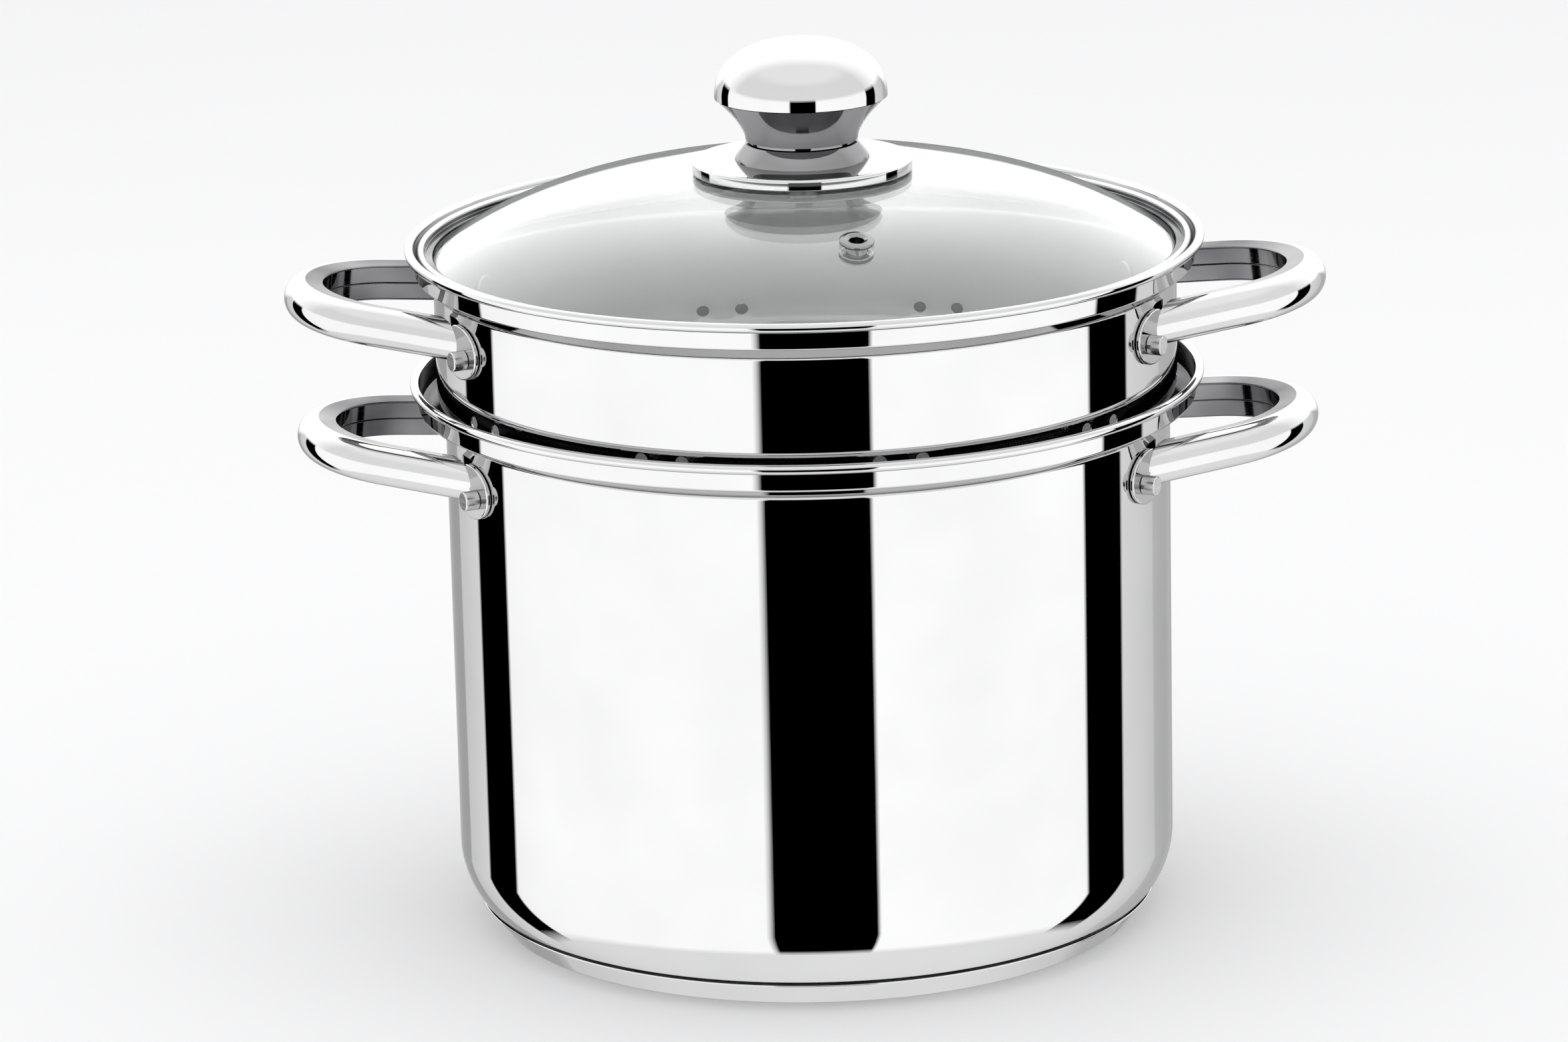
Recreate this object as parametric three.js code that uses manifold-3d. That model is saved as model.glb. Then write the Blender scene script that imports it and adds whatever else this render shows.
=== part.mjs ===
// Stainless steel pasta pot: a pot with a capsule base, a perforated strainer insert that hangs
// in its rim, and a domed glass lid with a steel knob. Millimetres, +Z up. The origin is the
// centre of the base, on the surface that the pot stands on. The handles point along +X and -X.
import * as THREE from 'three';
import { mergeGeometries, mergeVertices } from 'three/addons/utils/BufferGeometryUtils.js';
import Module from 'manifold-3d';

const wasm = await Module();
wasm.setup();

// Fits and facets
const CLEARANCE = 0.3;
const ROUND = 40;
const SMALL_ROUND = 18;
const RIVET_ROUND = 8;
const HOLE_SIDES = 5;
const BEAD_STEPS = 4;
const CORNER_STEPS = 3;
const EDGE_STEPS = 1;
const NECK_STEPS = 1;
const SHOULDER_STEPS = 2;
const DOME_STEPS = 5;
const FLARE_STEPS = 3;

// Pot
const POT_BORE = 220;
const POT_WALL = 0.6;
const POT_HEIGHT = 170.4;
const POT_CORNER = 26;
const POT_FLOOR_EDGE = 2.5;
const POT_LEDGE = 8;
const POT_RIM_OVERHANG = 10.4;

// Stepped rim of the pot and of the insert: a rising ledge, an upright band and a rolled bead
const LEDGE_RISE = 3.9;
const RIM_BAND = 8.2;
const RIM_BEAD = 2.9;
const BEAD_START = -125;
const BEAD_END = 180;

// Capsule base
const BASE_HEIGHT = 7.2;
const BASE_SEAM_INSET = 5.4;
const BASE_FOOT_INSET = 5.5;
const BASE_SHEET = 0.6;
const BASE_EDGE_BEVEL = 0.8;

// Strainer insert
const INSERT_STEP = 2.3;
const INSERT_WALL = 0.6;
const INSERT_COLLAR = 31.9;
const INSERT_SHOULDER = 9.6;
const INSERT_LEDGE = 5.5;
const INSERT_RIM_OVERHANG = 8.6;
const INSERT_CORNER = 14;
const INSERT_LIFT = 30;
const BASKET_SLIDE_GAP = 1.4;

// Strainer holes, in flower clusters of two, three and two
const HOLE_DIAMETER = 4.1;
const HOLE_PITCH_ANGLE = 6.5;
const HOLE_ROW_PITCH = 9.5;
const FLOWER_ROWS = [2, 3, 2];
const FLOWERS_ROUND = 10;
const FLOWER_TIERS = 2;
const FLOWER_TIER_PITCH = 58;
const FLOWER_FACET = 3.5;
const FIRST_ROW_ABOVE_SEAT = 11.7;
const FLOOR_HOLE_PITCH = 36;
const FLOOR_HOLE_RINGS = 2;
const PUNCH_LENGTH = 12;

// Handles, ears and rivets
const HANDLE_TUBE = 12;
const HANDLE_REACH = 39.6;
const HANDLE_BEND = 34;
const HANDLE_SPLAY = 19.5;
const HANDLE_TILT = 6.5;
const HANDLE_STEPS = 12;
const HANDLE_ARC_STEPS = 4;
const HANDLE_FLAT = 10.8;
const HANDLE_FLAT_INSET = 5.5;
const EAR_SIDES = 12;
const EAR_WIDTH = 23;
const EAR_HEIGHT = 16.4;
const EAR_SHEET = 1.2;
const EAR_ANGLE = 25;
const POT_EAR_DROP = 24.8;
const INSERT_EAR_DROP = 23.5;
const TUBE_ABOVE_EAR = 2;
const RIVET_BELOW_EAR = 1.5;
const RIVET_STUB = 5.9;
const RIVET_STUB_LENGTH = 4;
const RIVET_SHANK = 4;
const RIVET_HEAD = 9;
const RIVET_HEAD_HEIGHT = 1;
const RIVET_BEVEL = 0.6;
const RIVET_FACET = 3;

// Lid
const LID_INSET = 4.1;
const LID_RING_HEIGHT = 6.7;
const LID_RING_WIDTH = 2.2;
const LID_SHEET = 0.6;
const LID_LIP = 0.8;
const LID_EDGE = 0.5;
const GLASS_INSET = 3.8;
const GLASS_THICKNESS = 4;
const GLASS_RISE = 24.5;
const GLASS_CROWN_POWER = 3.2;
const GLASS_ABOVE_RING = 20.9;
const GLASS_STEPS = 4;

// Steam vent
const VENT_INSET = 37.1;
const VENT_ANGLE = -78.7;
const VENT_BORE = 4.2;
const VENT_BARREL = 5.6;
const VENT_FLANGE = 10.4;
const VENT_FLANGE_HEIGHT = 1.5;

// Knob
const KNOB_SHEET = 0.8;
const KNOB_DIAMETER = 52.4;
const KNOB_CAP_HEIGHT = 17.5;
const KNOB_CAP_FULLNESS = 2.3;
const KNOB_NECK_DIAMETER = 34;
const KNOB_NECK_HEIGHT = 13.4;
const KNOB_NECK_FLARE = 1.2;
const KNOB_GROOVE = 0.8;
const KNOB_COLLAR_DIAMETER = 40.8;
const KNOB_COLLAR_HEIGHT = 5;
const KNOB_COLLAR_FLARE = 1.3;
const KNOB_FLANGE_DIAMETER = 67;
const KNOB_FLANGE_HEIGHT = 3.6;
const KNOB_EDGE = 0.5;
const BOSS_DIAMETER = 12;
const BOSS_PLATE_DIAMETER = 28;
const BOSS_PLATE = 1.6;
const BOSS_ABOVE_PLATE = 8;
const SCREW_SHANK = 5;
const SCREW_HEAD = 9;
const SCREW_HEAD_HEIGHT = 3;
const SCREW_GRIP = 12;
const WASHER_DIAMETER = 16;
const WASHER_THICKNESS = 1;
const GASKET_DIAMETER = 18;
const GASKET_THICKNESS = 1.5;

// Places and sizes that follow from the values above
const POT_R = POT_BORE / 2 + POT_WALL;
const POT_FLOOR_UNDER = BASE_HEIGHT + CLEARANCE;
const POT_FLOOR_TOP = POT_FLOOR_UNDER + POT_WALL;
const INSERT_R = POT_R + INSERT_STEP;
const BASKET_R = POT_BORE / 2 - RIVET_HEAD_HEIGHT - CLEARANCE - BASKET_SLIDE_GAP;
const BASKET_FLOOR = POT_FLOOR_TOP + INSERT_LIFT;
const FACET_ANGLE = 360 / ROUND;
const FACET_LEAN = Math.tan(Math.PI / ROUND);
const RIVET_ANGLE = RIVET_FACET * FACET_ANGLE;
const RIVET_HOLE = RIVET_SHANK + 2 * CLEARANCE;

const radians = THREE.MathUtils.degToRad;

// Points along an arc of a profile, as [radius, height]. Angles are in degrees from outwards, upwards.
function arc(r, z, radius, from, to, steps) {
  const points = [];
  for (let i = 0; i <= steps; i += 1) {
    const angle = radians(from + ((to - from) * i) / steps);
    points.push([r + radius * Math.cos(angle), z + radius * Math.sin(angle)]);
  }
  return points;
}

// One mesh with shared vertices, no collapsed faces, and its faces pointing out.
function closed(geometry) {
  const bare = geometry.clone();
  bare.deleteAttribute('normal');
  bare.deleteAttribute('uv');
  const merged = mergeVertices(bare, 1e-4);
  const corners = merged.index.array;
  const place = merged.attributes.position;
  const at = (i) => new THREE.Vector3().fromBufferAttribute(place, i);
  const faces = [];
  let volume = 0;
  for (let i = 0; i < corners.length; i += 3) {
    const [a, b, c] = [corners[i], corners[i + 1], corners[i + 2]];
    if (a !== b && b !== c && c !== a) {
      faces.push([a, b, c]);
      volume += at(a).dot(at(b).cross(at(c)));
    }
  }
  const turned = volume < 0 ? faces.map(([a, b, c]) => [a, c, b]) : faces;
  merged.setIndex(turned.flat());
  return merged;
}

// A profile of [radius, height] points turned about the Z axis.
function revolve(profile, segments = ROUND) {
  const points = profile.map(([r, z]) => new THREE.Vector2(r, z));
  const lathe = new THREE.LatheGeometry(points, segments);
  lathe.rotateX(Math.PI / 2);
  return closed(lathe);
}

function solid(geometry) {
  const shape = closed(geometry);
  const vertProperties = new Float32Array(shape.attributes.position.array);
  const triVerts = new Uint32Array(shape.index.array);
  return new wasm.Manifold(new wasm.Mesh({ numProp: 3, vertProperties, triVerts }));
}

function geometryOf(manifold) {
  const mesh = manifold.getMesh();
  const geometry = new THREE.BufferGeometry();
  geometry.setAttribute('position', new THREE.BufferAttribute(new Float32Array(mesh.vertProperties), 3));
  geometry.setIndex(new THREE.BufferAttribute(new Uint32Array(mesh.triVerts), 1));
  return geometry;
}

// A plain cylinder about Z, with facets in line with the walls.
function disc(radius, low, high) {
  return revolve([[0, low], [radius, low], [radius, high], [0, high]]);
}

// A round punch whose axis points outwards, at an angle and height on a wall.
function radialPunch(diameter, sides, radius, length, angle, z) {
  const punch = new THREE.CylinderGeometry(diameter / 2, diameter / 2, length, sides);
  punch.rotateZ(-Math.PI / 2);
  punch.translate(radius, 0, z);
  punch.rotateZ(radians(angle));
  return punch;
}

// The stepped rim at the top of a wall. It gives the profile from the crease over the ledge, up the
// band, round the bead and down the inside, and the height of the ledge's upper face at a radius.
function steppedRim(wallR, sheet, top, ledge, overhang) {
  const cornerR = wallR + ledge;
  const cornerZ = top - RIM_BAND;
  const crease = cornerZ - LEDGE_RISE;
  const slope = Math.atan2(LEDGE_RISE, ledge);
  const innerR = wallR - sheet;
  const innerCrease = crease + sheet * Math.tan((Math.PI / 2 - slope) / 2);
  const innerHeight = (r) => innerCrease + (r - innerR) * Math.tan(slope);
  const beadR = RIM_BEAD / 2;
  const roll = arc(wallR + overhang - beadR, top - beadR, beadR, BEAD_START, BEAD_END, BEAD_STEPS);
  const innerCornerR = cornerR - sheet;
  const profile = [
    [wallR, crease],
    [cornerR, cornerZ],
    ...roll,
    [innerCornerR, innerHeight(innerCornerR)],
    [innerR, innerCrease],
  ];
  return { profile, innerCrease, innerHeight, slope };
}

// Pot: floor, rounded corner, straight wall and stepped rim in one drawn sheet.
const seamR = POT_R - BASE_SEAM_INSET;
const seamTurn = Math.acos(1 - (POT_R - seamR) / POT_CORNER);
const seamDegrees = THREE.MathUtils.radToDeg(seamTurn);
const edgeR = POT_R - POT_CORNER + (POT_CORNER - POT_FLOOR_EDGE) * Math.cos(seamTurn);
const edgeZ = POT_FLOOR_UNDER + POT_FLOOR_EDGE;
const cornerZ = edgeZ + (POT_CORNER - POT_FLOOR_EDGE) * Math.sin(seamTurn);
const potRim = steppedRim(POT_R, POT_WALL, POT_HEIGHT, POT_LEDGE, POT_RIM_OVERHANG);

function potCorner(offset) {
  return [
    ...arc(edgeR, edgeZ, POT_FLOOR_EDGE - offset, -90, -seamDegrees, EDGE_STEPS).slice(0, -1),
    ...arc(POT_R - POT_CORNER, cornerZ, POT_CORNER - offset, -seamDegrees, 0, CORNER_STEPS),
  ];
}

const potProfile = [
  [0, POT_FLOOR_UNDER],
  ...potCorner(0),
  ...potRim.profile,
  ...potCorner(POT_WALL).reverse(),
  [0, POT_FLOOR_TOP],
];

// Base: a pressed steel capsule holds an aluminium disc under the pot's floor.
const footR = seamR - BASE_FOOT_INSET;
const capLean = (seamR - footR) / BASE_HEIGHT;
const capSkew = Math.hypot(1, capLean);
const capR = (z, inset) => footR + capLean * z - inset * capSkew;

const baseCapProfile = [
  [0, 0],
  [footR - BASE_EDGE_BEVEL, 0],
  [capR(BASE_EDGE_BEVEL, 0), BASE_EDGE_BEVEL],
  [seamR, BASE_HEIGHT],
  [capR(BASE_HEIGHT, BASE_SHEET), BASE_HEIGHT],
  [capR(BASE_SHEET, BASE_SHEET) - BASE_EDGE_BEVEL, BASE_SHEET],
  [0, BASE_SHEET],
];

const coreLow = BASE_SHEET + CLEARANCE;
const coreHigh = POT_FLOOR_UNDER - CLEARANCE;
const coreInset = BASE_SHEET + CLEARANCE;
const baseCoreProfile = [
  [0, coreLow],
  [capR(coreLow, coreInset) - BASE_EDGE_BEVEL, coreLow],
  [capR(coreHigh, coreInset), coreHigh],
  [0, coreHigh],
];

// Insert: its tapered shoulder rests on the inside edge of the pot's ledge.
const seatR = POT_BORE / 2 - CLEARANCE;
const seatZ = potRim.innerCrease;
const shoulderZ = seatZ + INSERT_SHOULDER;
const shoulderStep = INSERT_R - seatR;
const shoulderRadius = (INSERT_SHOULDER ** 2 + shoulderStep ** 2) / (2 * shoulderStep);
const shoulderTurn = Math.asin(INSERT_SHOULDER / shoulderRadius);
const shoulderDegrees = THREE.MathUtils.radToDeg(shoulderTurn);
const neckRadius = (seatR - BASKET_R) / (1 - Math.cos(shoulderTurn));
const neckZ = seatZ - neckRadius * Math.sin(shoulderTurn);
const insertTop = shoulderZ + INSERT_COLLAR + LEDGE_RISE + RIM_BAND;
const insertRim = steppedRim(INSERT_R, INSERT_WALL, insertTop, INSERT_LEDGE, INSERT_RIM_OVERHANG);

function insertWall(offset) {
  const cornerR = BASKET_R - INSERT_CORNER;
  const cornerTop = BASKET_FLOOR + INSERT_CORNER;
  const neckR0 = BASKET_R + neckRadius;
  const turned = 180 - shoulderDegrees;
  const neck = arc(neckR0, neckZ, neckRadius + offset, 180, turned, NECK_STEPS);
  const middle = INSERT_R - shoulderRadius;
  return [
    ...arc(cornerR, cornerTop, INSERT_CORNER - offset, -90, 0, CORNER_STEPS),
    ...neck.slice(0, -1),
    ...arc(middle, shoulderZ, shoulderRadius - offset, -shoulderDegrees, 0, SHOULDER_STEPS),
  ];
}

const insertProfile = [
  [0, BASKET_FLOOR],
  ...insertWall(0),
  ...insertRim.profile,
  ...insertWall(INSERT_WALL).reverse(),
  [0, BASKET_FLOOR + INSERT_WALL],
];

// The radius of the insert's outer face at a height above the basket's corner.
function insertRadius(z) {
  if (z > shoulderZ) {
    return INSERT_R;
  }
  if (z > seatZ) {
    return INSERT_R - shoulderRadius + Math.sqrt(shoulderRadius ** 2 - (shoulderZ - z) ** 2);
  }
  if (z > neckZ) {
    return BASKET_R + neckRadius - Math.sqrt(neckRadius ** 2 - (z - neckZ) ** 2);
  }
  return BASKET_R;
}

// Wall holes in tiers of flower clusters, each tier turned half a step against the one above.
function wallPunches() {
  const punches = [];
  for (let tier = 0; tier < FLOWER_TIERS; tier += 1) {
    const top = seatZ + FIRST_ROW_ABOVE_SEAT - tier * FLOWER_TIER_PITCH;
    for (let flower = 0; flower < FLOWERS_ROUND; flower += 1) {
      const turn = (flower + (tier % 2) / 2) / FLOWERS_ROUND;
      const middle = FLOWER_FACET * FACET_ANGLE + turn * 360;
      FLOWER_ROWS.forEach((count, row) => {
        const z = top - row * HOLE_ROW_PITCH;
        for (let i = 0; i < count; i += 1) {
          const angle = middle + (i - (count - 1) / 2) * HOLE_PITCH_ANGLE;
          const wallR = insertRadius(z);
          punches.push(radialPunch(HOLE_DIAMETER, HOLE_SIDES, wallR, PUNCH_LENGTH, angle, z));
        }
      });
    }
  }
  return punches;
}

// Floor holes in rings, half a facet round from the X axis.
function floorPunches() {
  const punches = [];
  for (let row = 1; row <= FLOOR_HOLE_RINGS; row += 1) {
    const count = 6 * row;
    for (let i = 0; i < count; i += 1) {
      const angle = (i * 2 * Math.PI) / count + Math.PI / ROUND;
      const radius = HOLE_DIAMETER / 2;
      const punch = new THREE.CylinderGeometry(radius, radius, PUNCH_LENGTH, HOLE_SIDES);
      punch.rotateX(Math.PI / 2);
      const reach = row * FLOOR_HOLE_PITCH;
      punch.translate(reach * Math.cos(angle), reach * Math.sin(angle), BASKET_FLOOR);
      punches.push(punch);
    }
  }
  return punches;
}

// Rivet holes through a wall, at the four ears.
function rivetPunches(wallR, z) {
  const angles = [RIVET_ANGLE, -RIVET_ANGLE, 180 - RIVET_ANGLE, 180 + RIVET_ANGLE];
  return angles.map((angle) => radialPunch(RIVET_HOLE, RIVET_ROUND, wallR, PUNCH_LENGTH, angle, z));
}

// Centre line of a handle: a straight leg, a round bend and a second leg, rising outwards.
class HandleLoop extends THREE.Curve {
  constructor(wallR, footZ) {
    super();
    const splay = radians(HANDLE_SPLAY);
    this.middle = wallR + HANDLE_REACH - HANDLE_BEND;
    this.bend = Math.PI / 2 - splay;
    this.legX = Math.cos(splay);
    this.legY = Math.sin(splay);
    this.bendX = this.middle + HANDLE_BEND * Math.cos(this.bend);
    this.bendY = HANDLE_BEND * Math.sin(this.bend);
    const b = this.bendY * this.legY - this.bendX * this.legX;
    const c = this.bendX ** 2 + this.bendY ** 2 - wallR ** 2;
    const toWall = -b - Math.sqrt(b ** 2 - c);
    this.footX = this.bendX - toWall * this.legX;
    this.leg = toWall + HANDLE_TUBE / 2;
    this.footZ = footZ;
  }

  getPoint(t, target = new THREE.Vector3()) {
    const turn = 2 * this.bend * HANDLE_BEND;
    const along = t * (2 * this.leg + turn) - this.leg;
    const inBend = Math.min(Math.max(along, 0), turn);
    const onLeg = along < 0 ? -along : Math.max(along - turn, 0);
    const side = along < turn / 2 ? 1 : -1;
    const angle = this.bend - inBend / HANDLE_BEND;
    const x = this.middle + HANDLE_BEND * Math.cos(angle) - onLeg * this.legX;
    const y = HANDLE_BEND * Math.sin(angle) + side * onLeg * this.legY;
    const z = this.footZ + (x - this.footX) * Math.tan(radians(HANDLE_TILT));
    return target.set(x, y, z);
  }
}

// Section of a handle's folded tube: round on the outside of the loop and flat on the inside.
function handleSection(loop) {
  const frames = loop.computeFrenetFrames(HANDLE_STEPS, false);
  const tilt = radians(HANDLE_TILT);
  const up = new THREE.Vector3(-Math.sin(tilt), 0, Math.cos(tilt));
  const out = new THREE.Vector3().crossVectors(up, frames.tangents[0]);
  const outline = [
    ...arc(0, 0, HANDLE_TUBE / 2, 90, -90, HANDLE_ARC_STEPS),
    [-HANDLE_FLAT_INSET, -HANDLE_FLAT / 2],
    [-HANDLE_FLAT_INSET, HANDLE_FLAT / 2],
  ];
  const corners = outline.map(([across, rise]) => {
    const corner = out.clone().multiplyScalar(across).addScaledVector(up, rise);
    return new THREE.Vector2(corner.dot(frames.normals[0]), corner.dot(frames.binormals[0]));
  });
  return new THREE.Shape(corners);
}

function ellipseOf(width, height) {
  const shape = new THREE.Shape();
  shape.absellipse(0, 0, width / 2, height / 2, 0, 2 * Math.PI, false);
  return shape;
}

// An oval plate bent to the wall, at one end of a handle.
function earOn(wallR, angle, z) {
  const inner = wallR + CLEARANCE;
  const outer = inner + EAR_SHEET;
  const blank = new THREE.ExtrudeGeometry(ellipseOf(EAR_WIDTH, EAR_HEIGHT), {
    depth: 4 * EAR_WIDTH,
    bevelEnabled: false,
    curveSegments: EAR_SIDES / 2,
  });
  blank.rotateX(Math.PI / 2);
  blank.rotateZ(Math.PI / 2);
  blank.translate(wallR / 2, 0, z);
  blank.rotateZ(radians(angle));
  const low = z - EAR_HEIGHT;
  const high = z + EAR_HEIGHT;
  return solid(blank).intersect(solid(disc(outer, low, high)));
}

// A handle loop with its two ears, trimmed to the wall and drilled for its rivets.
function handleOn(wallR, earZ) {
  const loop = new HandleLoop(wallR, earZ + TUBE_ABOVE_EAR);
  const tube = new THREE.ExtrudeGeometry(handleSection(loop), {
    steps: HANDLE_STEPS,
    extrudePath: loop,
    bevelEnabled: false,
  });
  const wallRoom = disc(wallR + CLEARANCE, earZ - 3 * EAR_HEIGHT, earZ + 3 * EAR_HEIGHT);
  let handle = solid(tube).add(earOn(wallR, EAR_ANGLE, earZ)).add(earOn(wallR, -EAR_ANGLE, earZ));
  handle = handle.subtract(solid(wallRoom));
  const rivetZ = earZ - RIVET_BELOW_EAR;
  for (const angle of [RIVET_ANGLE, -RIVET_ANGLE]) {
    const punch = radialPunch(RIVET_HOLE, RIVET_ROUND, wallR, PUNCH_LENGTH, angle, rivetZ);
    handle = handle.subtract(solid(punch));
  }
  return geometryOf(handle);
}

// A rivet along +X: a flat head inside the wall, a shank, and a stub outside the ear. It stands on
// an edge between two facets, so the wall falls away from the edge under the head.
function rivetOn(wallR, sheet) {
  const headTop = wallR - sheet - (RIVET_HEAD / 2) * FACET_LEAN - CLEARANCE;
  const headLow = headTop - RIVET_HEAD_HEIGHT;
  const stubLow = wallR + CLEARANCE + EAR_SHEET + CLEARANCE;
  const stubTop = stubLow + RIVET_STUB_LENGTH;
  const rivet = revolve(
    [
      [0, headLow],
      [RIVET_HEAD / 2 - RIVET_BEVEL, headLow],
      [RIVET_HEAD / 2, headTop],
      [RIVET_SHANK / 2, headTop],
      [RIVET_SHANK / 2, stubLow],
      [RIVET_STUB / 2, stubLow],
      [RIVET_STUB / 2, stubTop - RIVET_BEVEL],
      [RIVET_STUB / 2 - RIVET_BEVEL, stubTop],
      [0, stubTop],
    ],
    RIVET_ROUND,
  );
  rivet.rotateY(Math.PI / 2);
  return rivet;
}

// Lid: a domed glass in a rolled steel rim, which stands on the insert's ledge.
const lidR = INSERT_R + INSERT_RIM_OVERHANG - LID_INSET;
const lidZ = insertRim.innerHeight(lidR) + CLEARANCE / Math.cos(insertRim.slope);
const lidTop = lidZ + LID_RING_HEIGHT;
const glassR = lidR - GLASS_INSET;
const glassApex = lidTop + GLASS_ABOVE_RING;
const glassTop = (r) => glassApex - GLASS_RISE * (r / glassR) ** GLASS_CROWN_POWER;
const glassLow = (r) => glassTop(r) - GLASS_THICKNESS;
const screwHole = SCREW_SHANK / 2 + CLEARANCE;

function glassProfile() {
  const radii = [];
  for (let i = 0; i <= GLASS_STEPS; i += 1) {
    const share = Math.sqrt(i / GLASS_STEPS);
    radii.push(screwHole + (glassR - screwHole) * share);
  }
  const over = radii.map((r) => [r, glassTop(r)]);
  const under = radii.map((r) => [r, glassLow(r)]).reverse();
  return [...over, ...under, over[0]];
}

function lidRimProfile() {
  const channelR = glassR + CLEARANCE;
  const lipR = glassR - LID_LIP;
  const profile = [
    [lipR, glassTop(lipR) + CLEARANCE],
    [channelR, glassTop(glassR) + CLEARANCE],
    [channelR, glassLow(glassR) - CLEARANCE],
    [lipR, glassLow(lipR) - CLEARANCE],
    [lipR, glassLow(lipR) - CLEARANCE - LID_SHEET],
    [channelR, glassLow(glassR) - CLEARANCE - LID_SHEET],
    [lidR, lidZ],
    [lidR, lidTop - LID_EDGE],
    [lidR - LID_EDGE, lidTop],
    [lidR - LID_RING_WIDTH, lidTop],
    [lipR, glassTop(lipR) + CLEARANCE + LID_SHEET],
  ];
  return [...profile, profile[0]];
}

// The vent's axis stands square to the glass.
const ventR = glassR - VENT_INSET;
const ventSlope = Math.atan(
  (GLASS_RISE * GLASS_CROWN_POWER * (ventR / glassR) ** (GLASS_CROWN_POWER - 1)) / glassR,
);

function atVent(geometry) {
  geometry.rotateY(ventSlope);
  geometry.translate(ventR, 0, glassTop(ventR));
  geometry.rotateZ(radians(VENT_ANGLE));
  return geometry;
}

function ventHole() {
  const hole = new THREE.CylinderGeometry(
    VENT_BARREL / 2 + CLEARANCE,
    VENT_BARREL / 2 + CLEARANCE,
    6 * GLASS_THICKNESS,
    RIVET_ROUND,
  );
  hole.rotateX(Math.PI / 2);
  return atVent(hole);
}

// The lower flange keeps a second clearance, because the glass is flat between its rings.
const ventLow = -GLASS_THICKNESS - 2 * CLEARANCE;
const ventProfile = [
  [VENT_BORE / 2, ventLow - VENT_FLANGE_HEIGHT],
  [VENT_FLANGE / 2, ventLow - VENT_FLANGE_HEIGHT],
  [VENT_FLANGE / 2, ventLow],
  [VENT_BARREL / 2, ventLow],
  [VENT_BARREL / 2, CLEARANCE],
  [VENT_FLANGE / 2, CLEARANCE],
  [VENT_FLANGE / 2, CLEARANCE + VENT_FLANGE_HEIGHT / 2],
  [(VENT_FLANGE + VENT_BORE) / 4, CLEARANCE + VENT_FLANGE_HEIGHT],
  [VENT_BORE / 2, CLEARANCE + VENT_FLANGE_HEIGHT / 2],
  [VENT_BORE / 2, ventLow - VENT_FLANGE_HEIGHT],
];

// Knob: a flange with a collar, a flaring neck and a domed cap, drawn down by a screw and a boss.
const flangeR = KNOB_FLANGE_DIAMETER / 2;
const flangeZ = glassTop(flangeR - KNOB_EDGE) + CLEARANCE;
const flangeTopZ = flangeZ + KNOB_FLANGE_HEIGHT;
const collarTopZ = flangeTopZ + KNOB_COLLAR_HEIGHT;
const collarR = KNOB_COLLAR_DIAMETER / 2;
const neckR = KNOB_NECK_DIAMETER / 2;
const knobR = KNOB_DIAMETER / 2;
const neckLowZ = collarTopZ + CLEARANCE;
const neckTopZ = neckLowZ + KNOB_NECK_HEIGHT;
const capLowZ = neckTopZ + CLEARANCE;
const neckSideZ = neckLowZ + KNOB_GROOVE;
const neckInsideZ = neckLowZ + KNOB_SHEET;
const neckSkew = KNOB_SHEET + KNOB_GROOVE;
const bossHole = BOSS_DIAMETER / 2 + CLEARANCE;
const plateLowZ = neckInsideZ + CLEARANCE;

// A side that leans more and more from one radius to another as it rises.
function flare(fromR, toR, low, high, power) {
  const points = [];
  for (let i = 0; i <= FLARE_STEPS; i += 1) {
    const share = i / FLARE_STEPS;
    points.push([fromR + (toR - fromR) * share ** power, low + (high - low) * share]);
  }
  return points;
}

const knobFlangeProfile = [
  [flangeR - KNOB_EDGE, flangeZ],
  [flangeR, flangeZ + KNOB_EDGE],
  [flangeR, flangeTopZ - KNOB_EDGE],
  [flangeR - KNOB_EDGE, flangeTopZ],
  ...flare(collarR, neckR, flangeTopZ, collarTopZ, KNOB_COLLAR_FLARE),
  [bossHole, collarTopZ],
  [bossHole, collarTopZ - KNOB_SHEET],
  [neckR - KNOB_SHEET, collarTopZ - KNOB_SHEET],
  [collarR - KNOB_SHEET, flangeTopZ - KNOB_SHEET],
  [flangeR - KNOB_EDGE - KNOB_SHEET, flangeTopZ - KNOB_SHEET],
  [flangeR - KNOB_EDGE - KNOB_SHEET, flangeZ],
  [flangeR - KNOB_EDGE, flangeZ],
];

const knobNeckProfile = [
  [bossHole, neckLowZ],
  [neckR - KNOB_GROOVE, neckLowZ],
  [neckR - KNOB_GROOVE, neckSideZ],
  ...flare(neckR, knobR - KNOB_EDGE, neckSideZ, neckTopZ, KNOB_NECK_FLARE),
  ...flare(neckR - neckSkew, knobR - KNOB_EDGE - neckSkew, neckInsideZ, neckTopZ, KNOB_NECK_FLARE).reverse(),
  [bossHole, neckInsideZ],
  [bossHole, neckLowZ],
];

// The cap's dome is a quarter of an oval that is a little fuller than an ellipse.
function dome(radius, height) {
  const points = [];
  for (let i = 0; i <= DOME_STEPS; i += 1) {
    const turn = (i * Math.PI) / 2 / DOME_STEPS;
    const out = Math.cos(turn) ** (2 / KNOB_CAP_FULLNESS);
    const up = Math.sin(turn) ** (2 / KNOB_CAP_FULLNESS);
    points.push([i === DOME_STEPS ? 0 : radius * out, capLowZ + height * up]);
  }
  return points;
}

const knobCapProfile = [
  ...dome(knobR, KNOB_CAP_HEIGHT),
  ...dome(knobR - KNOB_SHEET, KNOB_CAP_HEIGHT - KNOB_SHEET).reverse(),
];
knobCapProfile.push(knobCapProfile[0]);

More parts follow.
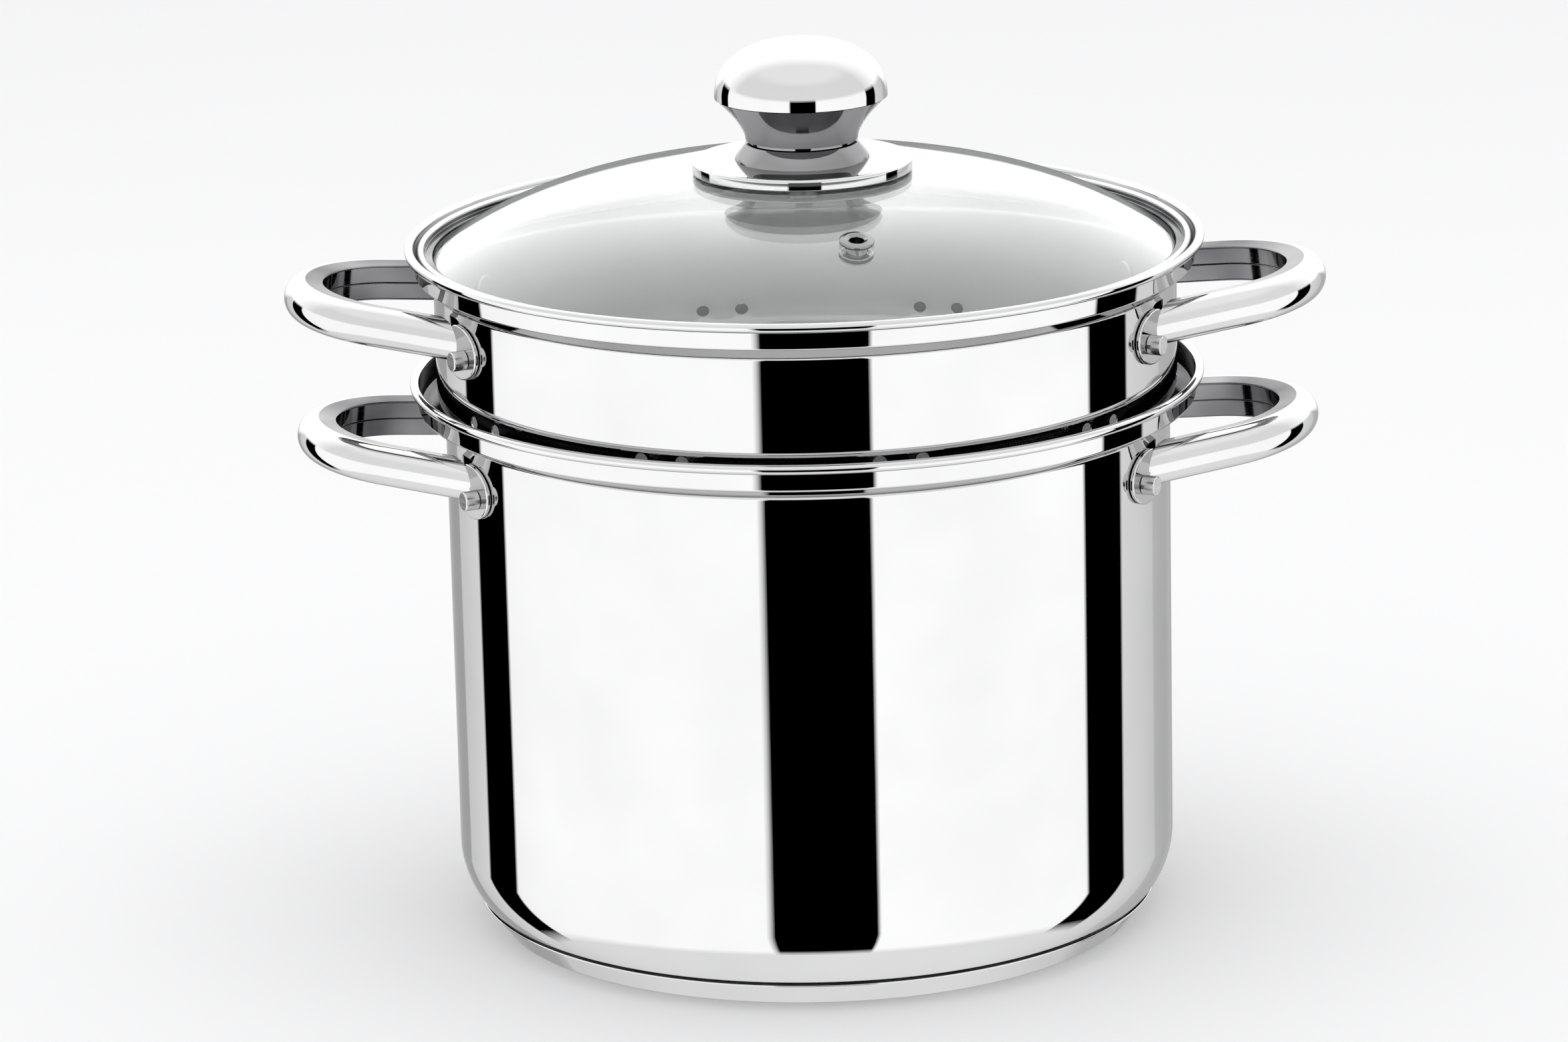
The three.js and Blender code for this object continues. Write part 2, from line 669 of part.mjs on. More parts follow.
const bossLowZ = glassApex + CLEARANCE;
const screwTopZ = bossLowZ + SCREW_GRIP;
const boreTopZ = screwTopZ + CLEARANCE;
const bossProfile = [
  [screwHole, bossLowZ],
  [BOSS_DIAMETER / 2, bossLowZ],
  [BOSS_DIAMETER / 2, plateLowZ],
  [BOSS_PLATE_DIAMETER / 2, plateLowZ],
  [BOSS_PLATE_DIAMETER / 2, plateLowZ + BOSS_PLATE],
  [BOSS_DIAMETER / 2, plateLowZ + BOSS_PLATE],
  [BOSS_DIAMETER / 2, plateLowZ + BOSS_PLATE + BOSS_ABOVE_PLATE],
  [0, plateLowZ + BOSS_PLATE + BOSS_ABOVE_PLATE],
  [0, boreTopZ],
  [screwHole, boreTopZ],
  [screwHole, bossLowZ],
];

const gasketTopZ = glassLow(0) - 2 * CLEARANCE;
const washerTopZ = gasketTopZ - GASKET_THICKNESS - CLEARANCE;
const headTopZ = washerTopZ - WASHER_THICKNESS - CLEARANCE;

// A flat washer on the knob's screw, hanging down from a height.
function washer(diameter, thickness, top) {
  const radius = diameter / 2;
  const low = top - thickness;
  const profile = [[screwHole, low], [radius, low], [radius, top], [screwHole, top], [screwHole, low]];
  return revolve(profile, RIVET_ROUND);
}

const screwProfile = [
  [0, headTopZ - SCREW_HEAD_HEIGHT],
  [SCREW_HEAD / 2 - KNOB_EDGE, headTopZ - SCREW_HEAD_HEIGHT],
  [SCREW_HEAD / 2, headTopZ - SCREW_HEAD_HEIGHT / 2],
  [SCREW_HEAD / 2, headTopZ],
  [SCREW_SHANK / 2, headTopZ],
  [SCREW_SHANK / 2, screwTopZ],
  [0, screwTopZ],
];

// Assembly
const POLISHED = { color: 0xd6d7d9, roughness: 0.08, metalness: 1 };
const SATIN = { color: 0xc4c6c8, roughness: 0.3, metalness: 1 };
const ALUMINIUM = { color: 0xb4b6b8, roughness: 0.5, metalness: 1 };
const GLASS = { color: 0xe8eeec, roughness: 0.03, metalness: 0, transparent: true, opacity: 0.35 };
const SILICONE = { color: 0xc8c8c4, roughness: 0.7, metalness: 0 };

const pastaPot = new THREE.Group();

function addMesh(parent, name, geometry, finish) {
  const flat = geometry.index ? geometry.toNonIndexed() : geometry;
  flat.computeVertexNormals();
  const mesh = new THREE.Mesh(flat, new THREE.MeshStandardMaterial(finish));
  mesh.name = name;
  parent.add(mesh);
  return mesh;
}

function cutFrom(profile, punches) {
  return geometryOf(solid(revolve(profile)).subtract(solid(mergeGeometries(punches))));
}

const sides = { right: 0, left: Math.PI };
const corners = { front: -RIVET_ANGLE, rear: RIVET_ANGLE };

function addHandles(prefix, wallR, sheet, earZ) {
  for (const [side, turn] of Object.entries(sides)) {
    const bench = new THREE.Group();
    bench.rotation.z = turn;
    pastaPot.add(bench);
    addMesh(bench, `${prefix}_handle_${side}`, handleOn(wallR, earZ), POLISHED);
    for (const [corner, angle] of Object.entries(corners)) {
      const place = side === 'right' ? corner : Object.keys(corners).find((other) => other !== corner);
      const rivet = addMesh(bench, `${prefix}_rivet_${side}_${place}`, rivetOn(wallR, sheet), SATIN);
      rivet.rotation.z = radians(angle);
      rivet.position.z = earZ - RIVET_BELOW_EAR;
    }
  }
}

const potEarZ = POT_HEIGHT - POT_EAR_DROP;
const insertEarZ = insertTop - INSERT_EAR_DROP;
const potPunches = rivetPunches(POT_R, potEarZ - RIVET_BELOW_EAR);
const insertPunches = [
  ...wallPunches(),
  ...floorPunches(),
  ...rivetPunches(INSERT_R, insertEarZ - RIVET_BELOW_EAR),
];

addMesh(pastaPot, 'pot_body', cutFrom(potProfile, potPunches), POLISHED);
addMesh(pastaPot, 'base_cap', revolve(baseCapProfile), POLISHED);
addMesh(pastaPot, 'base_core', revolve(baseCoreProfile), ALUMINIUM);
addHandles('pot', POT_R, POT_WALL, potEarZ);

addMesh(pastaPot, 'insert_body', cutFrom(insertProfile, insertPunches), POLISHED);
addHandles('insert', INSERT_R, INSERT_WALL, insertEarZ);

addMesh(pastaPot, 'lid_glass', cutFrom(glassProfile(), [ventHole()]), GLASS);
addMesh(pastaPot, 'lid_rim', revolve(lidRimProfile()), POLISHED);
addMesh(pastaPot, 'vent_eyelet', atVent(revolve(ventProfile, RIVET_ROUND)), POLISHED);
addMesh(pastaPot, 'knob_flange', revolve(knobFlangeProfile, SMALL_ROUND), POLISHED);
addMesh(pastaPot, 'knob_neck', revolve(knobNeckProfile, SMALL_ROUND), POLISHED);
addMesh(pastaPot, 'knob_cap', revolve(knobCapProfile, SMALL_ROUND), POLISHED);
addMesh(pastaPot, 'knob_boss', revolve(bossProfile, RIVET_ROUND), SATIN);
addMesh(pastaPot, 'knob_screw', revolve(screwProfile, RIVET_ROUND), SATIN);
addMesh(pastaPot, 'screw_washer', washer(WASHER_DIAMETER, WASHER_THICKNESS, washerTopZ), SATIN);
addMesh(pastaPot, 'glass_gasket', washer(GASKET_DIAMETER, GASKET_THICKNESS, gasketTopZ), SILICONE);

export default pastaPot;
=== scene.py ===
import bisect
import math

import bpy
from mathutils import Matrix, Vector
from mathutils.geometry import delaunay_2d_cdt


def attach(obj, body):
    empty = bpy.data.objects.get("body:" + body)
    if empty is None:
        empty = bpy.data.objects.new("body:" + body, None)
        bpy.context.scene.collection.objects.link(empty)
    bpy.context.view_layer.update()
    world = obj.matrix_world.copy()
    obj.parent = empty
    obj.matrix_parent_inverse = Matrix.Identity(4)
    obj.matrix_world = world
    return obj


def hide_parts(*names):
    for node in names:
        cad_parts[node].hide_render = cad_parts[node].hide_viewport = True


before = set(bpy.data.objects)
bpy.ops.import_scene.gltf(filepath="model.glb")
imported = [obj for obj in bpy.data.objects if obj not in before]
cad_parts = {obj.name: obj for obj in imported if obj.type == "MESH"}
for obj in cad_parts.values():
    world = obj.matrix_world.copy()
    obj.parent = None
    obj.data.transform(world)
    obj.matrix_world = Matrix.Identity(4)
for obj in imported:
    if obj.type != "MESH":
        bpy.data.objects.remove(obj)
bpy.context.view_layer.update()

# Sizes are in millimetres, as in the CAD source, and are turned into metres when a mesh is built.
MM = 0.001
CLEARANCE = 0.3

# Fineness of the meshes
ROUND = 160
KNOB_ROUND = 96
SMALL_ROUND = 40
HOLE_ROUND = 14
BEND_STEP = 7.0
CORNER_STEP = 3.0
FINE_STEP = 0.5
PLACE_DIGITS = 4
SAME_PLACE = 1e-5

# Pot
POT_BORE = 220.0
POT_WALL = 0.6
POT_HEIGHT = 170.4
POT_CORNER = 26.0
POT_FLOOR_EDGE = 2.5
POT_LEDGE = 8.0
POT_RIM_OVERHANG = 10.4
# How far down the pot's inside the near-black steel reaches: painted shade in the gap between pot and insert
RIM_SHADE_DEPTH = 24.0

# Stepped rim of the pot and of the insert: a rising ledge, an upright band and a rolled bead
LEDGE_RISE = 3.9
RIM_BAND = 8.2
RIM_BEAD = 2.9
BEAD_START = -125.0
BEAD_END = 180.0
RIM_FILLET = 0.9
CREASE_FILLET = 1.6

# Capsule base
BASE_HEIGHT = 7.2
BASE_SEAM_INSET = 5.4
BASE_FOOT_INSET = 5.5
BASE_SHEET = 0.6
BASE_EDGE = 1.2
BASE_LIP_EDGE = BASE_SHEET / 2.2

# Strainer insert
INSERT_STEP = 2.3
INSERT_WALL = 0.6
INSERT_COLLAR = 31.9
INSERT_SHOULDER = 9.6
INSERT_LEDGE = 5.5
INSERT_RIM_OVERHANG = 8.4
INSERT_CORNER = 14.0
INSERT_LIFT = 30.0
BASKET_SLIDE_GAP = 1.4

# Strainer holes, in flower clusters of two, three and two
HOLE_DIAMETER = 4.1
HOLE_PITCH_ANGLE = 6.5
HOLE_ROW_PITCH = 9.5
FLOWER_ROWS = (2, 3, 2)
FLOWERS_ROUND = 10
FLOWER_TIERS = 2
FLOWER_TIER_PITCH = 58.0
FLOWER_ANGLE = 31.5
FIRST_ROW_ABOVE_SEAT = 9.7
SHEET_ABOVE_HOLES = 8.0
FLOOR_HOLE_PITCH = 36.0
FLOOR_HOLE_RINGS = 2
FLOOR_HOLE_TURN = 4.5
HOLE_RINGS = (1.0, 1.22, 1.55, 2.1)
HOLE_MARGIN = 0.5
INSIDE_HOLE = 0.98
DIMPLE_DEPTH = 0.12
DIMPLE_REACH = 1.3
SHEET_SPACING = 5.0
FLOOR_SPACING = 10.0
HEXAGON = 6

# Handles, ears and rivets
HANDLE_TUBE = 12.0
HANDLE_REACH = 39.5
HANDLE_BEND = 34.0
HANDLE_SPLAY = 19.5
HANDLE_TILT = 6.5
HANDLE_STEPS = 40
HANDLE_FLAT = 10.8
HANDLE_FLAT_INSET = 5.5
HANDLE_FLAT_EDGE = 0.7
HANDLE_SEAM = 0.45
HANDLE_SEAM_DEPTH = 0.35
EAR_WIDTH = 23.0
EAR_HEIGHT = 16.4
EAR_SHEET = 1.2
EAR_EDGE = 0.5
EAR_ANGLE = 25.0
EAR_FACE = 21.5
POT_EAR_DROP = 24.8
INSERT_EAR_DROP = 23.5
TUBE_ABOVE_EAR = 2.0
RIVET_ANGLE = 27.0
RIVET_BELOW_EAR = 1.5
RIVET_STUB = 5.9
RIVET_STUB_LENGTH = 4.0
RIVET_SHANK = 4.0
RIVET_HEAD = 9.0
RIVET_HEAD_HEIGHT = 1.0
RIVET_EDGE = 0.5

# Lid
LID_INSET = 3.9
LID_RING_HEIGHT = 6.7
LID_RING_WIDTH = 2.2
LID_RING_EDGE = 0.9
LID_SHEET = 0.6
LID_LIP = 0.8
LID_LIP_EDGE = LID_SHEET / 2.5
GLASS_INSET = 3.8
GLASS_THICKNESS = 4.0
GLASS_RISE = 24.5
GLASS_CROWN_POWER = 3.2
GLASS_ABOVE_RING = 20.9
GLASS_SPACING = 5.0

# Steam vent
VENT_INSET = 37.1
VENT_ANGLE = -78.7
VENT_BORE = 4.2
VENT_BARREL = 5.6
VENT_FLANGE = 10.4
VENT_FLANGE_HEIGHT = 1.5
VENT_EDGE = 0.5
VENT_LOW_EDGE = VENT_FLANGE_HEIGHT / 2.2
VENT_RIM_EDGE = 0.6
VENT_MOUTH = 6.72
VENT_MOUTH_EDGE = 0.75
VENT_RIM_HEIGHT = 1.05
VENT_THROAT_HEIGHT = 0.9

# Knob
KNOB_SHEET = 0.8
KNOB_DIAMETER = 52.4
KNOB_CAP_HEIGHT = 17.5
KNOB_CAP_FULLNESS = 2.3
KNOB_NECK_DIAMETER = 34.0
KNOB_NECK_HEIGHT = 13.4
KNOB_NECK_FLARE = 1.6
KNOB_GROOVE = 0.8
KNOB_COLLAR_DIAMETER = 40.8
KNOB_COLLAR_HEIGHT = 5.0
KNOB_COLLAR_FLARE = 1.3
KNOB_FLANGE_DIAMETER = 67.0
KNOB_FLANGE_HEIGHT = 3.6
KNOB_EDGE = 0.5
BOSS_DIAMETER = 12.0
SCREW_SHANK = 5.0
SCREW_HEAD = 9.0
SCREW_HEAD_HEIGHT = 3.0
SCREW_GRIP = 12.0
SCREW_SOCKET = 3.0
SCREW_SOCKET_DEPTH = 1.5
WASHER_DIAMETER = 16.0
WASHER_THICKNESS = 1.0
WASHER_EDGE = 0.2
GASKET_DIAMETER = 18.0
GASKET_THICKNESS = 1.5
GASKET_EDGE = 0.375

# Camera, fitted to the photograph
PHOTO_WIDTH = 2359
PHOTO_FOCUS = 9656.7
SENSOR = 36.0
CAMERA_PLACE = (-8.01, -1903.97, 634.35)
CAMERA_DOWN = 15.07
CAMERA_ROLL = -1.306
CAMERA_FAR = 100000.0

# Places that follow from the values above
POT_R = POT_BORE / 2 + POT_WALL
POT_FLOOR = BASE_HEIGHT + CLEARANCE
INSERT_R = POT_R + INSERT_STEP
BASKET_R = POT_BORE / 2 - RIVET_HEAD_HEIGHT - CLEARANCE - BASKET_SLIDE_GAP
BASKET_FLOOR = POT_FLOOR + POT_WALL + INSERT_LIFT
SEAM_R = POT_R - BASE_SEAM_INSET
FOOT_R = SEAM_R - BASE_FOOT_INSET
LID_R = INSERT_R + INSERT_RIM_OVERHANG - LID_INSET
GLASS_R = LID_R - GLASS_INSET
VENT_R = GLASS_R - VENT_INSET
SCREW_HOLE = SCREW_SHANK / 2 + CLEARANCE


# Profiles. A run is a list of (radius, height, normal radius, normal height), with the normal to
# the right of its travel, and the steel to the left.
def line(start, end):
    across, up = end[0] - start[0], end[1] - start[1]
    length = math.hypot(across, up)
    normal = (up / length, -across / length)
    return [(*start[:2], *normal), (*end[:2], *normal)]


def bend(r, z, radius, start, end, step=BEND_STEP):
    """A round run about a centre. Angles are in degrees from outwards, upwards."""
    steps = max(2, math.ceil(abs(end - start) / step))
    side = 1 if end > start else -1
    run = []
    for i in range(steps + 1):
        angle = math.radians(start + (end - start) * i / steps)
        c, s = math.cos(angle), math.sin(angle)
        run.append((r + radius * c, z + radius * s, side * c, side * s))
    return run


def rounded(*corners):
    """Runs along corners of (radius, height) or, where the corner is rounded, (radius, height, fillet)."""
    runs = []
    here = corners[0]
    for before, corner, after in zip(corners, corners[1:], corners[2:]):
        fillet = corner[2] if len(corner) > 2 else 0
        if not fillet:
            runs.append(line(here, corner))
            here = corner
            continue
        towards = Vector(corner[:2]) - Vector(before[:2])
        onward = Vector(after[:2]) - Vector(corner[:2])
        towards.normalize()
        onward.normalize()
        turn = math.atan2(towards.cross(onward), towards.dot(onward))
        cut = fillet * math.tan(abs(turn) / 2)
        side = 1 if turn > 0 else -1
        start = Vector(corner[:2]) - towards * cut
        centre = start + Vector((-towards.y, towards.x)) * side * fillet
        first = math.degrees(math.atan2(start.y - centre.y, start.x - centre.x))
        arc = bend(centre.x, centre.y, fillet, first, first + math.degrees(turn))
        runs.append(line(here, arc[0]))
        runs.append(arc)
        here = arc[-1]
    runs.append(line(here, corners[-1]))
    return runs


def looped(*corners):
    """Runs round a closed outline of corners, from the middle of its last side."""
    first, last = corners[0], corners[-1]
    middle = ((first[0] + last[0]) / 2, (first[1] + last[1]) / 2)
    return rounded(middle, *corners, middle)


def curve(places):
    """A run through close points of a smooth curve, with normals from its neighbours."""
    run = []
    for i, (r, z) in enumerate(places):
        before = places[max(i - 1, 0)]
        after = places[min(i + 1, len(places) - 1)]
        across, up = after[0] - before[0], after[1] - before[1]
        length = math.hypot(across, up)
        run.append((r, z, up / length, -across / length))
    return run


class Skin:
    """A mesh made face by face. Each corner of a face brings its place and its normal."""

    def __init__(self, place=None):
        self.place = place or Matrix()
        self.points = []
        self.known = {}
        self.faces = []
        self.normals = []
        self.finishes = []

    def vertex(self, point):
        key = tuple(round(c, PLACE_DIGITS) for c in point)
        if key not in self.known:
            self.known[key] = len(self.points)
            self.points.append(point)
        return self.known[key]

    def face(self, corners, finish=0):
        """Adds a face of (place, normal) corners, without those that fall together."""
        kept = {}
        for point, normal in corners:
            kept.setdefault(self.vertex(point), normal)
        if len(kept) > 2:
            self.faces.append(list(kept))
            self.normals.extend(kept.values())
            self.finishes.append(finish)

    def sweep(self, runs, stations, finish=0):
        """Carries runs from station to station. A station gives a sample's place and normal."""
        for run in runs:
            rings = [[station(sample) for sample in run] for station in stations]
            for here, there in zip(rings, rings[1:]):
                for i in range(len(run) - 1):
                    self.face([here[i], there[i], there[i + 1], here[i + 1]], finish)

    def lathe(self, runs, finish=0, segments=ROUND):
        """Turns runs about the Z axis."""
        self.sweep(runs, [turned(360 * (i % segments) / segments) for i in range(segments + 1)], finish)

    def build(self, name, body, slot, finishes, *nodes):
        """Makes the object, in metres, riding on a body and standing for CAD nodes."""
        mesh = bpy.data.meshes.new(name)
        turn = self.place.to_3x3()
        points = [(self.place @ Vector(point)) * MM for point in self.points]
        mesh.from_pydata(points, [], self.faces, shade_flat=False)
        mesh.normals_split_custom_set([turn @ Vector(normal) for normal in self.normals])
        for finish in finishes:
            mesh.materials.append(finish)
        mesh.polygons.foreach_set("material_index", self.finishes)
        piece = bpy.data.objects.new(name, mesh)
        bpy.context.scene.collection.objects.link(piece)
        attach(piece, body)
        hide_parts(*nodes)


def turned(degrees):
    """The station of a lathe at an angle."""
    c, s = math.cos(math.radians(degrees)), math.sin(math.radians(degrees))

    def station(sample):
        r, z, across, up = sample
        return (r * c, r * s, z), (across * c, across * s, up)

    return station


def circle(x, y, radius, count):
    """Points round a circle."""
    angles = [2 * math.pi * i / count for i in range(count)]
    return [(x + radius * math.cos(a), y + radius * math.sin(a)) for a in angles]


# The triangulation's output kind that keeps only what is inside the outline
INSIDE_OUTLINE = 1


def punched(skin, outline, holes, filling, outer, inner, finishes=(0, 0)):
    """A sheet with round holes, (x, y, radius), laid out flat and mapped to its outer and inner face."""
    flat = list(outline)
    edges = [(i, (i + 1) % len(outline)) for i in range(len(outline))]
    rims = []
    for x, y, radius in holes:
        start = len(flat)
        flat.extend(circle(x, y, radius, HOLE_ROUND))
        rims.append(list(range(start, len(flat))))
        edges.extend(zip(rims[-1], rims[-1][1:] + rims[-1][:1]))
        for grow in HOLE_RINGS[1:]:
            flat.extend(circle(x, y, radius * grow, HOLE_ROUND))
    clear = HOLE_RINGS[-1] + HOLE_MARGIN
    for x, y in filling:
        if all(math.hypot(x - a, y - b) > clear * radius for a, b, radius in holes):
            flat.append((x, y))
    points = [Vector(p) for p in flat]
    _, _, triangles, origins, _, _ = delaunay_2d_cdt(points, edges, [], INSIDE_OUTLINE, SAME_PLACE)
    over = [outer(*p) for p in flat]
    under = [inner(*p) for p in flat]
    for triangle in triangles:
        ids = [origins[i][0] for i in triangle]
        x = sum(flat[i][0] for i in ids) / 3
        y = sum(flat[i][1] for i in ids) / 3
        if all(math.hypot(x - a, y - b) > INSIDE_HOLE * radius for a, b, radius in holes):
            skin.face([over[i] for i in ids], finishes[0])
            skin.face([under[i] for i in reversed(ids)], finishes[1])
    for rim in rims:
        middle = [Vector(over[i][0]) for i in rim]
        centre = sum(middle, Vector()) / len(middle)
        for i, j in zip(rim, rim[1:] + rim[:1]):
            facing = [(centre - Vector(over[k][0])).normalized() for k in (i, j)]
            skin.face([
                (over[i][0], facing[0]),
                (over[j][0], facing[1]),
                (under[j][0], facing[1]),
                (under[i][0], facing[0]),
            ], finishes[0])


# Rims
class SteppedRim:
    """The stepped rim at the top of a wall: a rising ledge, an upright band and a rolled bead."""

    def __init__(self, wall_r, sheet, top, ledge, overhang):
        self.wall_r, self.inner_r = wall_r, wall_r - sheet
        self.corner_r, self.corner_z = wall_r + ledge, top - RIM_BAND
        self.inner_corner_r = self.corner_r - sheet
        self.crease = self.corner_z - LEDGE_RISE
        self.slope = math.atan2(LEDGE_RISE, ledge)
        self.inner_crease = self.crease + sheet * math.tan((math.pi / 2 - self.slope) / 2)
        self.bead_r = wall_r + overhang - RIM_BEAD / 2
        self.bead_z = top - RIM_BEAD / 2

    def inner_height(self, r):
        """The height of the ledge's upper face."""
        return self.inner_crease + (r - self.inner_r) * math.tan(self.slope)

    def outside(self, low):
        """Runs up the outside from a height, over the ledge and the band, and round the bead."""
        roll = bend(self.bead_r, self.bead_z, RIM_BEAD / 2, BEAD_START, BEAD_END)
        wall = rounded(
            (self.wall_r, low),
            (self.wall_r, self.crease, CREASE_FILLET),
            (self.corner_r, self.corner_z, RIM_FILLET),
            roll[0],
        )
        return [*wall, roll], roll[-1]

    def inside(self, top, low):
        """Runs down the inside from the bead to a height."""
        return rounded(
            top,
            (self.inner_corner_r, self.inner_height(self.inner_corner_r), RIM_FILLET),
            (self.inner_r, self.inner_crease, CREASE_FILLET),
            (self.inner_r, low),
        )


# Pot
SEAM_TURN = math.acos(1 - (POT_R - SEAM_R) / POT_CORNER)
EDGE_R = POT_R - POT_CORNER + (POT_CORNER - POT_FLOOR_EDGE) * math.cos(SEAM_TURN)
EDGE_Z = POT_FLOOR + POT_FLOOR_EDGE
CORNER_Z = EDGE_Z + (POT_CORNER - POT_FLOOR_EDGE) * math.sin(SEAM_TURN)
pot_rim = SteppedRim(POT_R, POT_WALL, POT_HEIGHT, POT_LEDGE, POT_RIM_OVERHANG)


def pot_shell(outside, inside, rim_shade_finish):
    """The drawn pot: floor, rounded corner, straight wall and stepped rim."""
    seam = math.degrees(SEAM_TURN)
    skin = Skin()
    wall, top = pot_rim.outside(CORNER_Z)
    skin.lathe([
        line((0, POT_FLOOR), (EDGE_R, POT_FLOOR)),
        bend(EDGE_R, EDGE_Z, POT_FLOOR_EDGE, -90, -seam),
        bend(POT_R - POT_CORNER, CORNER_Z, POT_CORNER, -seam, 0, step=CORNER_STEP),
        *wall,
    ])
    rim_shade_low = POT_HEIGHT - RIM_SHADE_DEPTH
    # The rim's inside takes the near-black steel: painted shade between pot and insert
    skin.lathe(pot_rim.inside(top, rim_shade_low), finish=2)
    skin.lathe([
        line((POT_R - POT_WALL, rim_shade_low), (POT_R - POT_WALL, CORNER_Z)),
        bend(POT_R - POT_CORNER, CORNER_Z, POT_CORNER - POT_WALL, 0, -seam, step=CORNER_STEP),
        bend(EDGE_R, EDGE_Z, POT_FLOOR_EDGE - POT_WALL, -seam, -90),
        line((EDGE_R, POT_FLOOR + POT_WALL), (0, POT_FLOOR + POT_WALL)),
    ], finish=1)
    skin.build("pot_shell", "pot", "polished_steel", (outside, inside, rim_shade_finish), "pot_body")


def pot_base(finish):
    """The pressed cap under the pot, with a rounded foot and a sloped side."""
    lean = (SEAM_R - FOOT_R) / BASE_HEIGHT
    inset = BASE_SHEET * math.hypot(1, lean)
    skin = Skin()
    skin.lathe(rounded(
        (0, 0),
        (FOOT_R, 0, BASE_EDGE),
        (SEAM_R, BASE_HEIGHT, BASE_LIP_EDGE),
        (SEAM_R - inset, BASE_HEIGHT, BASE_LIP_EDGE),
        (FOOT_R + lean * BASE_SHEET - inset, BASE_SHEET, BASE_SHEET),
        (0, BASE_SHEET),
    ))
    skin.build("pot_base", "pot", "polished_steel", (finish,), "base_cap")


# Insert
SEAT_R = POT_BORE / 2 - CLEARANCE
SEAT_Z = pot_rim.inner_crease
SHOULDER_Z = SEAT_Z + INSERT_SHOULDER
SHOULDER_STEP = INSERT_R - SEAT_R
SHOULDER_RADIUS = (INSERT_SHOULDER ** 2 + SHOULDER_STEP ** 2) / (2 * SHOULDER_STEP)
SHOULDER_TURN = math.asin(INSERT_SHOULDER / SHOULDER_RADIUS)
NECK_RADIUS = (SEAT_R - BASKET_R) / (1 - math.cos(SHOULDER_TURN))
NECK_Z = SEAT_Z - NECK_RADIUS * math.sin(SHOULDER_TURN)
INSERT_TOP = SHOULDER_Z + INSERT_COLLAR + LEDGE_RISE + RIM_BAND
FIRST_ROW_Z = SEAT_Z + FIRST_ROW_ABOVE_SEAT
SHEET_TOP = FIRST_ROW_Z + SHEET_ABOVE_HOLES
insert_rim = SteppedRim(INSERT_R, INSERT_WALL, INSERT_TOP, INSERT_LEDGE, INSERT_RIM_OVERHANG)


class BasketWall:
    """The outer face of the perforated wall, by the length along its profile."""

    def __init__(self):
        shoulder = math.degrees(SHOULDER_TURN)
        runs = (
            line((BASKET_R, BASKET_FLOOR + INSERT_CORNER), (BASKET_R, NECK_Z)),
            bend(BASKET_R + NECK_RADIUS, NECK_Z, NECK_RADIUS, 180, 180 - shoulder, step=FINE_STEP),
            bend(INSERT_R - SHOULDER_RADIUS, SHOULDER_Z, SHOULDER_RADIUS, -shoulder, 0, step=FINE_STEP),
            line((INSERT_R, SHOULDER_Z), (INSERT_R, SHEET_TOP)),
        )
        self.samples = [runs[0][0]]
        self.lengths = [0.0]
        for run in runs:
            for before, after in zip(run, run[1:]):
                self.samples.append(after)
                step = math.hypot(after[0] - before[0], after[1] - before[1])
                self.lengths.append(self.lengths[-1] + step)
        self.length = self.lengths[-1]

    def at(self, along):
        i = min(max(bisect.bisect_right(self.lengths, along) - 1, 0), len(self.lengths) - 2)
        share = (along - self.lengths[i]) / (self.lengths[i + 1] - self.lengths[i])
        low, high = self.samples[i], self.samples[i + 1]
        return [a + (b - a) * share for a, b in zip(low, high)]

    def height(self, z):
        """The length along the profile at a height."""
        heights = [sample[1] for sample in self.samples]
        i = min(max(bisect.bisect_right(heights, z) - 1, 0), len(heights) - 2)
        share = (z - heights[i]) / (heights[i + 1] - heights[i])
        return self.lengths[i] + (self.lengths[i + 1] - self.lengths[i]) * share


def wall_holes(wall):
    """One sector's holes, as (length round, length along, radius): a flower of each tier."""
    holes = []
    for tier in range(FLOWER_TIERS):
        for row, count in enumerate(FLOWER_ROWS):
            z = FIRST_ROW_Z - tier * FLOWER_TIER_PITCH - row * HOLE_ROW_PITCH
            for i in range(count):
                angle = (i - (count - 1) / 2) * HOLE_PITCH_ANGLE + (tier % 2) * 180 / FLOWERS_ROUND
                holes.append((math.radians(angle) * BASKET_R, wall.height(z), HOLE_DIAMETER / 2))
    return holes


def dimple(x, y, holes):
    """How far the sheet is drawn out at a hole's edge, and the slope of that, in both directions."""
    a, b, radius = min(holes, key=lambda hole: math.hypot(x - hole[0], y - hole[1]))
    away = math.hypot(x - a, y - b)
    past = max(away - radius, 0) / DIMPLE_REACH
    depth = DIMPLE_DEPTH * math.exp(-past * past)
    steep = -2 * past / DIMPLE_REACH * depth
    return depth, steep * (x - a) / max(away, radius), steep * (y - b) / max(away, radius)


